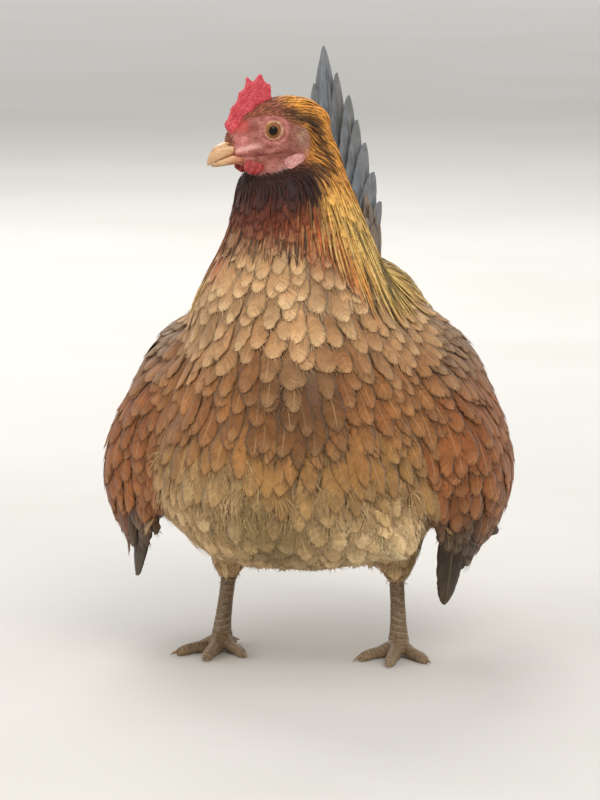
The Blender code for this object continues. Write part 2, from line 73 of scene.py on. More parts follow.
EYE_LEFT, EYE_RIGHT = node_middle("eye_left"), node_middle("eye_right")
SHIFT = (EYE_LEFT + EYE_RIGHT) / 2 - HEAD_AT * MM
FLOOR = -SHIFT[2] / MM  # the floor's height in the hen's own millimetres
LEFT = (EYE_LEFT - EYE_RIGHT) / np.linalg.norm(EYE_LEFT - EYE_RIGHT)
AHEAD = np.cross(LEFT, UP)


# ---- small vector tools ----


def unit(vectors):
    return vectors / np.maximum(np.linalg.norm(vectors, axis=-1, keepdims=True), 1e-9)


def dot(a, b):
    return np.sum(a * b, axis=-1)


def ease(low, high, value):
    """0 at low and 1 at high, with a soft start and end. low may be above high."""
    t = np.clip((value - low) / (high - low), 0, 1)
    return t * t * (3 - 2 * t)


def hill(away, width):
    """1 where away is 0, falling softly to nothing past the width on both sides."""
    return np.exp(-((away / width) ** 2))


def mix(a, b, share):
    """From a to b by share, where a and b may be colours for each point."""
    a, b, share = np.asarray(a, float), np.asarray(b, float), np.asarray(share, float)
    if max(a.ndim, b.ndim) > share.ndim or (a.shape and a.shape[-1:] == (3,) and share.ndim == 1):
        share = share[..., None]
    return a + (b - a) * share


def head_point(ahead, aside, up):
    return HEAD_AT + AHEAD * ahead + LEFT * aside + UP * up


def head_frame(points):
    """Each point's place ahead of the eyes, to the hen's left, and above them."""
    away = points - HEAD_AT
    return away @ AHEAD, away @ LEFT, away[:, 2]


# ---- meshes as arrays of points, in the hen's millimetres, and faces ----


def coordinates(mesh):
    points = np.empty(len(mesh.vertices) * 3, np.float64)
    mesh.vertices.foreach_get("co", points)
    return points.reshape(-1, 3)


def triangle_arrays(mesh):
    mesh.calc_loop_triangles()
    faces = np.empty(len(mesh.loop_triangles) * 3, np.int64)
    mesh.loop_triangles.foreach_get("vertices", faces)
    return coordinates(mesh), faces.reshape(-1, 3)


def quad_arrays(mesh):
    faces = np.empty(len(mesh.loops), np.int64)
    mesh.loops.foreach_get("vertex_index", faces)
    return coordinates(mesh), faces.reshape(-1, 4)


def mesh_from(points, faces):
    mesh = bpy.data.meshes.new("shape")
    mesh.from_pydata(points.tolist(), [], faces.tolist())
    return mesh


def after(mesh, *modifiers):
    """The mesh with (type, settings) modifiers applied."""
    work = bpy.data.objects.new("work", mesh)
    bpy.context.scene.collection.objects.link(work)
    for kind, settings in modifiers:
        modifier = work.modifiers.new(kind, kind)
        for name, value in settings.items():
            setattr(modifier, name, value)
    graph = bpy.context.evaluated_depsgraph_get()
    made = bpy.data.meshes.new_from_object(work.evaluated_get(graph))
    bpy.data.objects.remove(work)
    return made


def remeshed(points, faces, voxel):
    made = after(mesh_from(points, faces), ("REMESH", {"mode": "VOXEL", "voxel_size": voxel}))
    return quad_arrays(made)


def edges_of(faces):
    pairs = np.concatenate([faces[:, (k, (k + 1) % faces.shape[1])] for k in range(faces.shape[1])])
    return np.unique(np.sort(pairs, axis=1), axis=0)


def smoothed(values, edges, passes, share=0.5):
    """The values moved towards their neighbours' mean, passes times."""
    count = len(values)
    ways = np.bincount(edges.ravel(), minlength=count)[:, None]
    a, b = edges.T
    share = np.broadcast_to(np.asarray(share, float), (count,))[:, None]
    flat = values.reshape(count, -1).astype(float)
    for _ in range(passes):
        total = np.stack([np.bincount(a, c[b], count) + np.bincount(b, c[a], count) for c in flat.T], 1)
        flat = flat + (total / ways - flat) * share
    return flat.reshape(values.shape)


def normals_of(points, faces):
    corner = points[faces]
    if faces.shape[1] == 4:
        face = np.cross(corner[:, 2] - corner[:, 0], corner[:, 3] - corner[:, 1])
    else:
        face = np.cross(corner[:, 1] - corner[:, 0], corner[:, 2] - corner[:, 0])
    total = np.zeros_like(points)
    for k in range(3):
        for column in faces.T:
            total[:, k] += np.bincount(column, face[:, k], len(points))
    return unit(total)


def node_arrays(name):
    """A CAD node's points and triangles in the hen's millimetres."""
    points, faces = triangle_arrays(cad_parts[name].data)
    points = (points - SHIFT) / MM
    _, first, which = np.unique(np.round(points, 4), axis=0, return_index=True, return_inverse=True)
    faces = which.reshape(-1)[faces]
    whole = (faces[:, 0] != faces[:, 1]) & (faces[:, 1] != faces[:, 2]) & (faces[:, 2] != faces[:, 0])
    return points[first], faces[whole]


def joined(*shapes):
    points, faces, count = [], [], 0
    for some, theirs in shapes:
        points.append(some)
        faces.append(theirs + count)
        count += len(some)
    return np.concatenate(points), np.concatenate(faces)


def ball(centre, axes, radii, segments=24, rings=16):
    """An ellipsoid's triangles round a centre, with its three axes and radii."""
    theta = np.linspace(0, math.pi, rings + 1)[1:-1]
    phi = np.linspace(0, math.tau, segments, endpoint=False)
    t, p = np.meshgrid(theta, phi, indexing="ij")
    body = np.stack([np.sin(t) * np.cos(p), np.sin(t) * np.sin(p), np.cos(t)], -1).reshape(-1, 3)
    points = np.concatenate([body, [(0, 0, 1), (0, 0, -1)]]) * np.asarray(radii)
    faces = []
    for r in range(rings - 2):
        for k in range(segments):
            a, b = r * segments + k, r * segments + (k + 1) % segments
            faces += [(a, a + segments, b + segments), (a, b + segments, b)]
    top, low, last = len(body), len(body) + 1, (rings - 2) * segments
    for k in range(segments):
        nxt = (k + 1) % segments
        faces += [(top, k, nxt), (low, last + nxt, last + k)]
    return centre + points @ np.asarray(axes, float), np.array(faces)


def piece(name, points, faces, material, colours=None, maps=None):
    """A new object of the hen from arrays, with colour attributes and UV maps given for each point."""
    mesh = bpy.data.meshes.new(name)
    count, size = faces.shape
    mesh.vertices.add(len(points))
    mesh.vertices.foreach_set("co", (points * MM + SHIFT).astype(np.float32).ravel())
    mesh.loops.add(count * size)
    mesh.loops.foreach_set("vertex_index", faces.astype(np.int32).ravel())
    mesh.polygons.add(count)
    mesh.polygons.foreach_set("loop_start", np.arange(0, count * size, size, dtype=np.int32))
    mesh.update(calc_edges=True)
    mesh.shade_smooth()
    for label, values in (colours or {}).items():
        layer = mesh.color_attributes.new(label, "FLOAT_COLOR", "POINT")
        values = values if values.shape[1] == 4 else np.c_[values, np.ones(len(values))]
        layer.data.foreach_set("color", values.astype(np.float32).ravel())
    for label, values in (maps or {}).items():
        layer = mesh.uv_layers.new(name=label)
        layer.data.foreach_set("uv", values[faces.ravel()].astype(np.float32).ravel())
    mesh.materials.append(material)
    obj = bpy.data.objects.new(name, mesh)
    bpy.context.scene.collection.objects.link(obj)
    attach(obj, "root")
    return obj


# ---- the hide: one skin under all the plumage ----


FINE_MIDDLE = head_point(-2, 0, -3)
FINE_REACH = 34.0
FINE_SCALE = 3.6
FLESH = ("head", "neck", "trunk", "thigh_left", "thigh_right", "wing_left", "wing_right")
# The bare red face seen from the side: ahead of the eye and above it.
FACE_EDGE = np.array(
    [
        (24, -4), (16, 3.5), (9, 6), (0, 6.8), (-8, 5), (-13, 1), (-20, 0), (-24, -9),
        (-25, -21), (-20, -28), (-9, -28), (2, -29), (8, -31), (17, -26), (22, -22),
    ],
    float,
)


def spread(points):
    """Space stretched about the head, so that one voxel size is fine there and coarse on the body."""
    away = points - FINE_MIDDLE
    far = np.linalg.norm(away, axis=1, keepdims=True)
    wide = np.where(far < FINE_REACH, far * FINE_SCALE, far + FINE_REACH * (FINE_SCALE - 1))
    return FINE_MIDDLE + away * wide / np.maximum(far, 1e-9)


def unspread(points):
    away = points - FINE_MIDDLE
    wide = np.linalg.norm(away, axis=1, keepdims=True)
    close = wide < FINE_REACH * FINE_SCALE
    far = np.where(close, wide / FINE_SCALE, wide - FINE_REACH * (FINE_SCALE - 1))
    return FINE_MIDDLE + away * far / np.maximum(wide, 1e-9)


def triangles(quads):
    return np.concatenate([quads[:, (0, 1, 2)], quads[:, (0, 2, 3)]])


def evenly(points, faces, size):
    """The same shape in small even triangles, so that it bends well where space is stretched."""
    points, quads = remeshed(points, faces, size)
    return points, triangles(quads)


def swollen(points, faces, amount):
    return points + normals_of(points, faces) * amount, faces


def ring_solid(side):
    """The fleshy rim of the lids round one eye."""
    around, tube = 40, 12
    a = np.linspace(0, math.tau, around, endpoint=False)[:, None]
    b = np.linspace(0, math.tau, tube, endpoint=False)[None]
    pinch = 1 + 0.13 * np.cos(a) ** 3
    out = 1.0 * np.cos(b)
    ahead = (5.95 * pinch + out) * np.cos(a)
    up = (5.6 + out) * np.sin(a) + 0 * b
    aside = 13.1 - 0.5 * np.cos(a) + 1.0 * np.sin(b)
    places = zip(ahead.ravel(), (side * aside).ravel(), (up - EYE_DROP).ravel())
    points = np.stack([head_point(*place) for place in places])
    faces = []
    for k in range(around):
        for j in range(tube):
            p, q = k * tube + j, k * tube + (j + 1) % tube
            r, s = ((k + 1) % around) * tube + (j + 1) % tube, ((k + 1) % around) * tube + j
            faces += [(p, q, r), (p, r, s)] if side < 0 else [(p, r, q), (p, s, r)]
    return points, np.array(faces)


def inside_face(f, h):
    """How far inside the bare face's edge each place is, in mm. Outside it is negative."""
    best = np.full(f.shape, 1e9)
    within = np.zeros(f.shape, bool)
    for (fa, ha), (fb, hb) in zip(FACE_EDGE, np.roll(FACE_EDGE, -1, axis=0)):
        df, dh = fb - fa, hb - ha
        t = np.clip(((f - fa) * df + (h - ha) * dh) / (df * df + dh * dh), 0, 1)
        best = np.minimum(best, np.hypot(f - fa - t * df, h - ha - t * dh))
        crosses = (ha > h) != (hb > h)
        at = fa + (h - ha) * df / (dh if dh else 1e-9)
        within ^= crosses & (f < at)
    return np.where(within, best, -best)


def bareness(points):
    """1 on the bare face, 0 under feathers."""
    f, _, h = head_frame(points)
    near = ease(34, 28, np.linalg.norm(points - HEAD_AT, axis=1))
    return ease(-0.9, 0.9, inside_face(f, h)) * near


def coat_depth(points, wing):
    """How far the hide lies inside the outline of the plumage."""
    f, _, h = head_frame(points)
    head = ease(70, 30, np.linalg.norm(points - HEAD_AT, axis=1))
    body = 5.0 + 2.0 * ease(100, 70, points[:, 2])
    crown = 1.8 + 2.4 * ease(5, 15, h) + 1.2 * ease(-22, -40, f)
    depth = mix(body, crown, head)
    depth = mix(depth, 4.2, wing)
    return depth * (1 - bareness(points))


def closest(tree, points, limit=60.0):
    """The nearest place on a surface and its face, for each point."""
    places, faces, far = np.empty((len(points), 3)), np.empty(len(points), int), np.full(len(points), limit)
    for k, point in enumerate(points.tolist()):
        place, _, face, away = tree.find_nearest(point, limit)
        if place is None:
            places[k], faces[k] = point, -1
        else:
            places[k], faces[k], far[k] = place, face, away
    return places, faces, far


def inner_depth(points, normals, tree):
    """How thick the body is under each point."""
    found = np.full(len(points), 80.0)
    for k, (point, normal) in enumerate(zip((points - normals * 0.4).tolist(), (-normals).tolist())):
        hit = tree.ray_cast(point, normal, 80.0)
        if hit[0] is not None:
            found[k] = hit[3]
    return found


def made_hide():
    """The hide's points and quads, and how far each point belongs to a wing."""
    shapes = []
    for name in FLESH:
        shapes.append(evenly(*swollen(*node_arrays(name), 0.45), 1.0 if name == "head" else 2.4))
    axes = np.array((AHEAD, LEFT, UP))
    upright = np.eye(3)
    for side in (-1, 1):
        shapes.append(ball(head_point(0, side * 9.4, 0), upright, (5.6,) * 3))
        shapes.append(ball(head_point(0, side * 10.8, -EYE_DROP), upright, (5.2,) * 3))
        shapes.append(ring_solid(side))
        shapes.append(ball(np.array((side * 53.2, 17.5, 50)), upright, (5.6, 6.2, 17)))
    shapes.append(ball(head_point(18, 0, -12.6), axes, (11.5, 6.9, 8.6)))
    shapes.append(ball(np.array((-1, 74, 209)), upright, (66, 53, 40), segments=56, rings=36))
    shapes.append(ball(TAIL_ROOT + (0, 0, 2), upright, (17, 17, 19)))
    shapes.append(ball(np.array((63, -60, 83)), upright, (23, 22, 19)))
    points, faces = joined(*shapes)
    points, faces = remeshed(spread(points), faces, 2.5)
    points, faces = largest(unspread(points), faces)
    edges = edges_of(faces)
    near_head = ease(55, 38, np.linalg.norm(points - FINE_MIDDLE, axis=1))
    points = smoothed(points, edges, 10, 0.5 * mix(1.0, 0.35, near_head))
    points = smoothed(points, edges, 50, 0.5 * (1 - near_head))
    wing = np.zeros(len(points))
    for name in ("wing_left", "wing_right"):
        shape, sides = node_arrays(name)
        tree = BVHTree.FromPolygons(shape.tolist(), sides.tolist())
        wing = np.maximum(wing, closest(tree, points, 5.0)[2] < 3.0)
    outer = normals_of(points, faces)
    wing = smoothed(wing * (np.abs(points[:, 0]) > 40), edges, 14)
    tree = BVHTree.FromPolygons(points.tolist(), faces.tolist())
    depth = np.minimum(coat_depth(points, wing), 0.36 * inner_depth(points, outer, tree))
    depth = smoothed(depth, edges, 8)
    points = points - outer * (depth * (1 - bareness(points)))[:, None]
    points = smoothed(points, edges, 12, 0.5 * (1 - near_head))
    return fold_face(points, normals_of(points, faces)), faces, wing


def largest(points, faces):
    """Only the largest connected body."""
    label = np.arange(len(points))
    edges = edges_of(faces)
    while True:
        least = np.minimum(label[edges[:, 0]], label[edges[:, 1]])
        new = label.copy()
        np.minimum.at(new, edges[:, 0], least)
        np.minimum.at(new, edges[:, 1], least)
        new = new[new]
        if (new == label).all():
            break
        label = new
    sizes = np.bincount(label, minlength=len(points))
    keep = label == sizes.argmax()
    index = np.cumsum(keep) - 1
    return points[keep], index[faces[keep[faces[:, 0]]]]


def fold_face(points, normals):
    """Wrinkles of the bare face, and the hide drawn in behind each eyeball."""
    f, _, h = head_frame(points)
    h = h + EYE_DROP
    bare = bareness(points)
    from_eye = np.hypot(f, h)
    wrinkle = np.sin(h * 0.9 + 1.3 * np.sin(f * 0.35 + 1)) * 0.22
    wrinkle = wrinkle + np.sin(f * 0.8 + 1.2 * np.sin(h * 0.5)) * 0.10
    bag = hill(from_eye - 8.8, 1.1) * mix(0.3, 0.6, ease(4, -4, h))
    groove = hill(from_eye - 7.0, 0.55) * -0.35
    inside = inside_face(f, h - EYE_DROP)
    rim = hill(inside - 2.0, 1.3) * ease(4, -6, f) * ease(-4, -12, h) * 0.9
    cheek = (h + 14.5 + 0.12 * f) * ease(-9, -4, f) * ease(20, 14, f)
    fold = 0.5 * hill(cheek - 1.4, 1.1) - 0.6 * hill(cheek + 0.4, 0.6)
    fold = fold * ease(-9, -4, f) * ease(20, 14, f)
    rise = bare * ((wrinkle + bag + fold) * ease(6.8, 8.2, from_eye) + groove + rim)
    points = points + normals * rise[:, None]
    for side in (-1, 1):
        centre = head_point(0, side * 10.8, -EYE_DROP)
        away = points - centre
        f, a, h = head_frame(points)
        before = (np.hypot(f / 1.06, h + EYE_DROP) < 5.1) & (a * side > 9.0)
        seat = before & (np.linalg.norm(away, axis=1) < 6.4)
        points[seat] = centre + unit(away[seat]) * 4.7
    return points


# ---- how the plumage lies ----


# Guides for the body: a place and the way feathers point there. Both sides are alike.
BODY_GUIDES = [
    ((0, -78, 285), (0, -0.25, -1)),
    ((26, -52, 285), (0.15, -0.05, -1)),
    ((36, -15, 285), (0.25, 0.25, -1)),
    ((0, 0, 285), (0, 0.3, -1)),
    ((0, -98, 250), (0, -0.2, -1)),
    ((45, -75, 245), (0.25, -0.05, -1)),
    ((60, -25, 245), (0.45, 0.15, -1)),
    ((25, 30, 250), (0.25, 0.8, -0.6)),
    ((0, -118, 200), (0, -0.1, -1)),
    ((50, -95, 200), (0.22, 0.05, -1)),
    ((80, -55, 205), (0.35, 0.3, -1)),
    ((0, -122, 150), (0, 0.05, -1)),
    ((55, -100, 145), (0.22, 0.15, -1)),
    ((88, -60, 140), (0.25, 0.45, -1)),
    ((0, -112, 100), (0, 0.3, -1)),
    ((60, -85, 95), (0.15, 0.45, -1)),
    ((0, -75, 66), (0, 0.7, -0.7)),
    ((45, -55, 66), (0, 0.7, -0.7)),
    ((0, 0, 58), (0, 1, -0.1)),
    ((90, 0, 100), (0.1, 0.6, -1)),
    ((60, 50, 70), (0, 1, -0.3)),
    ((85, 70, 150), (0, 1, -0.6)),
    ((0, 20, 252), (0, 1, -0.2)),
    ((45, 30, 240), (0.45, 1, -0.4)),
    ((0, 70, 245), (0, 1, 0.05)),
    ((45, 80, 225), (0.35, 1, -0.35)),
    ((20, 105, 225), (0.3, 1, 0.35)),
    ((0, 128, 190), (0, 0.5, -0.8)),
    ((40, 120, 170), (0.1, 0.6, -1)),
    ((0, 130, 130), (0, 0.4, -1)),
    ((0, 105, 80), (0, 0.6, -0.8)),
    ((50, 22, 55), (0, 0.15, -1)),
]
WING_GUIDES = [
    ((95, -45, 205), (0.5, 0.15, -1)),
    ((112, -55, 150), (0.1, 0.2, -1)),
    ((95, 0, 222), (0.6, 0.5, -1)),
    ((118, 0, 170), (0.3, 0.35, -1)),
    ((128, 0, 120), (0, 0.35, -1)),
    ((115, -20, 75), (-0.25, 0.35, -1)),
    ((75, 60, 215), (0.3, 1, -0.7)),
    ((105, 60, 160), (0.1, 0.85, -0.8)),
    ((110, 50, 100), (-0.1, 0.75, -0.9)),
    ((70, 120, 140), (-0.3, 1, -0.6)),
]
# Guides for the head, from the middle of the eyes: ahead, to the left, up.
HEAD_GUIDES = [
    ((20, 0, 4), (-0.8, 0, 0.6)),
    ((8, 0, 17), (-1, 0, 0.25)),
    ((-12, 0, 21), (-1, 0, -0.05)),
    ((-30, 0, 18), (-1, 0, -0.55)),
    ((-42, 0, 2), (-0.35, 0, -1)),
    ((0, 14, 12), (-1, 0.1, 0.1)),
    ((-22, 17, 8), (-1, 0, -0.35)),
    ((-28, 17, -10), (-0.7, 0, -0.9)),
    ((-18, 15, -28), (-0.5, 0, -1)),
    ((4, 8, -30), (-0.7, 0, -0.7)),
    ((16, 0, -27), (-0.8, 0, -0.6)),
    ((5, 11, -10), (-1, 0, -0.3)),
]


def both_sides(guides):
    whole = [(np.array(p, float), np.array(d, float)) for p, d in guides]
    flip = np.array((-1.0, 1, 1))
    return whole + [(p * flip, d * flip) for p, d in whole if p[0]]


def guided(points, guides, power=3.0):
    """The mean of the guides' directions, the nearest counting most."""
    total = np.zeros_like(points)
    for place, way in guides:
        far = np.linalg.norm(points - place, axis=1) + 4.0
        total += way / np.linalg.norm(way) / far[:, None] ** power
    return unit(total)


def on_surface(vectors, normals):
    return unit(vectors - normals * dot(vectors, normals)[:, None])


def lie_of_plumage(points, normals, edges, wing):
    flip = np.array((1.0, -1, 1))
    head = []
    for place, way in HEAD_GUIDES:
        for turn in (np.ones(3), flip):
            at, to = np.array(place) * turn, np.array(way) * turn
            head.append((head_point(*at), AHEAD * to[0] + LEFT * to[1] + UP * to[2]))
    body = guided(points, both_sides(BODY_GUIDES))
    flow = mix(body, guided(points, both_sides(WING_GUIDES)), wing)
    share = ease(48, 34, np.linalg.norm(points - head_point(-8, 0, 0), axis=1))
    flow = mix(flow, guided(points, head, 2.5), share)
    flow = on_surface(flow, normals)
    return on_surface(smoothed(flow, edges, 10), normals)


class Hide:
    """The skin's surface with what the plumage needs to know about it."""

    def __init__(self):
        self.points, self.quads, self.wing = made_hide()
        self.edges = edges_of(self.quads)
        self.normals = normals_of(self.points, self.quads)
        self.flow = lie_of_plumage(self.points, self.normals, self.edges, self.wing)
        self.faces = triangles(self.quads)
        self.tree = BVHTree.FromPolygons(self.points.tolist(), self.faces.tolist())
        self.broad = smoothed(self.normals, self.edges, 6)
        corner = self.points[self.faces]
        cross = np.cross(corner[:, 1] - corner[:, 0], corner[:, 2] - corner[:, 0])
        self.area = np.linalg.norm(cross, axis=1) / 2
        self.unwrap = None

    def at(self, points):
        """For places near the hide: the hide's nearest place, its normal and the lie of feathers there."""
        place, face, _ = closest(self.tree, points)
        corners = self.faces[face]
        return place, unit(self.broad[corners].mean(axis=1)), unit(self.flow[corners].mean(axis=1)), face

    def root_place(self, face):
        """Where the faces lie on the skin's unwrap."""
        return self.unwrap[face % len(self.quads)]


def scatter(hide, density, spacing, seed):
    """Roots over the hide, no two nearer than the spacing. Both are given for each of its points."""
    rng = np.random.default_rng(seed)
    dense = density[hide.faces].mean(axis=1)
    apart = spacing[hide.faces].mean(axis=1)
    share = hide.area * dense / apart**2
    count = int(share.sum() * 5)
    chosen = rng.choice(len(share), count, p=share / share.sum())
    a, b = rng.random(count), rng.random(count)
    over = a + b > 1
    a[over], b[over] = 1 - a[over], 1 - b[over]
    corner = hide.points[hide.faces[chosen]]
    to_second, to_third = corner[:, 1] - corner[:, 0], corner[:, 2] - corner[:, 0]
    points = corner[:, 0] + to_second * a[:, None] + to_third * b[:, None]
    finder = KDTree(count)
    for k, point in enumerate(points.tolist()):
        finder.insert(point, k)
    finder.balance()
    free, kept = np.ones(count, bool), []
    places, gaps = points.tolist(), apart[chosen].tolist()
    for k in range(count):
        if free[k]:
            kept.append(k)
            free[[found[1] for found in finder.find_range(places[k], gaps[k])]] = False
    return points[kept], chosen[kept]


class Roots:
    """Feather roots scattered over the hide, and the hide's values at each of them."""

    def __init__(self, hide, density, spacing, seed):
        self.places, self.face = scatter(hide, density, spacing, seed)
        self.corners = hide.faces[self.face]
        self.count = len(self.places)
        self.flow, self.normal = self.pick(hide.flow), self.pick(hide.normals)

    def pick(self, values):
        return values[self.corners].mean(axis=1)

    def turned(self, turn, which=slice(None)):
        """The lie of the plumage at the roots, turned by that many radians along the hide."""
        flow, aside = self.flow[which], np.cross(self.normal, self.flow)[which]
        return flow * np.cos(turn)[:, None] + aside * np.sin(turn)[:, None]


def picked(which, *values):
    """The same choice from each of the arrays."""
    return [some[which] for some in values]


def in_thirds(name, height):
    """The names of three pieces, from low to high, and which feathers belong to each."""
    third = np.argsort(np.argsort(height)) * 3 // len(height)
    return [(f"{name}_{part}", third == k) for k, part in enumerate(("low", "middle", "high"))]


def trace(hide, roots, way, reach, stations, sag=0.35):
    """Centre lines of feathers along the hide, with the hide's normal at each station."""
    place, normal, flow, _ = hide.at(roots)
    way = on_surface(way if way is not None else flow, normal)
    lines, ups = [place], [normal]
    for k in range(1, len(stations)):
        step = (reach * (stations[k] - stations[k - 1]))[:, None]
        ahead = place + way * step
        found, new_normal, new_flow, _ = hide.at(ahead)
        off = np.linalg.norm(found - ahead, axis=1)
        kept = (dot(new_normal, normal) > 0.86) & (off < 0.4 * step[:, 0] + 0.4)
        # Past the wing's rim or the body's edge, a feather runs on straight.
        place = np.where(kept[:, None], found, ahead)
        normal = np.where(kept[:, None], new_normal, normal)
        way = on_surface(np.where(kept[:, None], mix(way, new_flow, sag), way), normal)
        lines.append(place)
        ups.append(normal)
    return np.stack(lines, 1), np.stack(ups, 1)


# ---- feathers ----


# Where the columns of a vane are across it, from one rim to the other.
BROAD = (-1, -0.5, 0, 0.5, 1)
STIFF = (-1, -0.7, -0.35, -0.05, 0.05, 0.35, 0.7, 1)


class Coat:
    """Feathers of one piece, gathered as arrays."""

    def __init__(self, hide):
        self.hide = hide
        self.parts = []

    def add(self, rings, uv, roots, base, edge):
        """Closed blades: rings of points (blade, station, round, 3), with vane places for them."""
        count, rows, around, _ = rings.shape
        template = []
        for r in range(rows - 1):
            for k in range(around):
                a, b = r * around + k, r * around + (k + 1) % around
                template += [(a, b, b + around), (a, b + around, a + around)]
        last = (rows - 1) * around
        for k in range(1, around - 1):
            template += [(0, k + 1, k), (last, last + k, last + k + 1)]
        size = rows * around
        faces = (np.array(template)[None] + np.arange(count)[:, None, None] * size).reshape(-1, 3)
        uv = np.broadcast_to(uv, (count, rows, around, 2)).reshape(-1, 2)
        spot = np.repeat(self.hide.root_place(roots), size, axis=0)
        patch = spot + (uv - 0.5) * PATCH
        base, edge = np.repeat(base, size, 0), np.repeat(edge, size, 0)
        self.parts.append((rings.reshape(-1, 3), faces, uv, patch, base, edge))

    def finish(self, name, material, slot):
        starts = np.cumsum([0] + [len(part[0]) for part in self.parts])
        parts = [(part[0], part[1] + start, *part[2:]) for part, start in zip(self.parts, starts)]
        points, faces, uv, patch, base, edge = (np.concatenate(some) for some in zip(*parts))
        colours, maps = {"Base": base, "Edge": edge}, {"Vane": uv, "OFBake": patch}
        return piece(name, points, faces, material, colours, maps)


def frames_of(lines, ups, roll=None):
    """Along, across and up at each station of the centre lines."""
    along = unit(np.gradient(lines, axis=1))
    up = unit(ups - along * dot(ups, along)[..., None])
    across = np.cross(along, up)
    if roll is not None:
        c, s = np.cos(roll)[:, None, None], np.sin(roll)[:, None, None]
        across, up = across * c + up * s, up * c - across * s
    return along, across, up


def vanes(coat, roots, lines, ups, half, base, edge, columns, camber, thick, fray, rng, roll=None):
    """Flat feathers with a rounded upper side. half is the half width at each station."""
    _, across, up = frames_of(lines, ups, roll)
    count, rows = half.shape
    u = np.array(columns, float)
    top = np.broadcast_to(u, (count, rows, len(u))).copy()
    rags = rng.random((count, rows, 2)) ** 1.5
    late = np.linspace(0, 1, rows)[None] ** 0.7
    top[:, :, 0] += rags[..., 0] * fray * late
    top[:, :, -1] -= rags[..., 1] * fray * late
    wide = half[..., None]
    high = -camber * wide * top**2 + thick * (1 - np.abs(top)) * 0.6
    over = lines[:, :, None] + across[:, :, None] * (top * wide)[..., None] + up[:, :, None] * high[..., None]
    under = lines[:, :, None] - up[:, :, None] * (thick * 0.6 + camber * half * 0.2)[..., None, None]
    rings = np.concatenate([over, under], axis=2)
    v = np.broadcast_to(coat_stations(rows)[None, :, None], top.shape)
    uv = np.stack([(top + 1) / 2, v], -1)
    below = np.stack([np.full((count, rows, 1), 0.5), v[..., :1]], -1)
    coat.add(rings, np.concatenate([uv, below], axis=2), roots, base, edge)


def coat_stations(rows):
    """Where the rows of a vane are along it: closer together towards the tip."""
    t = np.linspace(0, 1, rows)
    return 1 - (1 - t) ** 1.35


def strands(coat, roots, lines, ups, half, base, edge, thick, roll=None, sides=4):
    """Narrow blades with three or four sides."""
    _, across, up = frames_of(lines, ups, roll)
    w = half[..., None]
    h = thick * np.minimum(1, half / half.max(axis=1, keepdims=True) + 0.2)[..., None]
    rings = [lines - across * w, lines + up * h, lines + across * w, lines - up * h * 0.6]
    rings = np.stack(rings[:sides], 2)
    u, v = np.array((0.0, 0.5, 1.0, 0.5))[:sides], coat_stations(half.shape[1])
    uv = np.stack(np.broadcast_arrays(u[None], v[:, None]), -1)
    coat.add(rings, uv[None], roots, base, edge)


def leaf(t, root=0.45, widest=0.6, point=0.0):
    """Half width of a vane along it, from 0 to 1: rounded at the tip, or more pointed."""
    grow = root + (1 - root) * ease(0, widest, t)
    end = np.clip((t - widest) / (1 - widest), 0, 1)
    round_tip = np.sqrt(np.maximum(1 - end**2.2, 0.0))
    sharp = 1 - end**1.4
    return grow * np.maximum(round_tip * (1 - point) + sharp * point, 0.03)


def shades(base, rng, spread_by, warm=0.03):
    """A base colour for each feather, each a little lighter, darker or warmer than the next."""
    count = len(base)
    tone = np.exp(rng.normal(0, spread_by, (count, 1)))
    shift = 1 + rng.normal(0, warm, (count, 1)) * np.array((-0.3, 0.4, 1.0))
    return np.clip(base * tone * shift, 0.003, 0.95)


def with_alpha(colours, alpha):
    return np.c_[colours, np.broadcast_to(alpha, len(colours))]


# ---- markings and sizes, the same for hide and feathers ----


THROAT = (0.026, 0.0045, 0.0022)
MAHOGANY = (0.15, 0.030, 0.010)
BREAST_UP = (0.45, 0.265, 0.128)
BREAST = (0.270, 0.105, 0.026)
BREAST_LOW = (0.30, 0.160, 0.048)
BUFF = (0.66, 0.46, 0.24)
RUST = (0.25, 0.082, 0.020)
# The wing's rust, darkened by painted shade, for its lower part and for the secondaries under it.
SHADED_RUST = (0.13, 0.048, 0.016)
GREY_BROWN = (0.225, 0.155, 0.092)
GOLD = (0.68, 0.440, 0.125)
NAPE = (0.70, 0.30, 0.046)
CROWN = (0.31, 0.100, 0.058)
DARK_BAND = (0.055, 0.020, 0.010)
BARE = (0.38, 0.125, 0.095)
SLATE = (0.140, 0.155, 0.185)
BLACK_BROWN = (0.030, 0.022, 0.015)
CREAM = (0.76, 0.55, 0.31)
PALE_GOLD = (0.74, 0.53, 0.20)


def neck_bearing(points):
    """Degrees from the front of the neck, which turns with the head the higher it is."""
    turn = 54 * ease(235, 312, points[:, 2])
    bearing = np.degrees(np.arctan2(NECK_AXIS[0] - points[:, 0], NECK_AXIS[1] - points[:, 1]))
    return np.abs((bearing - turn + 180) % 360 - 180)


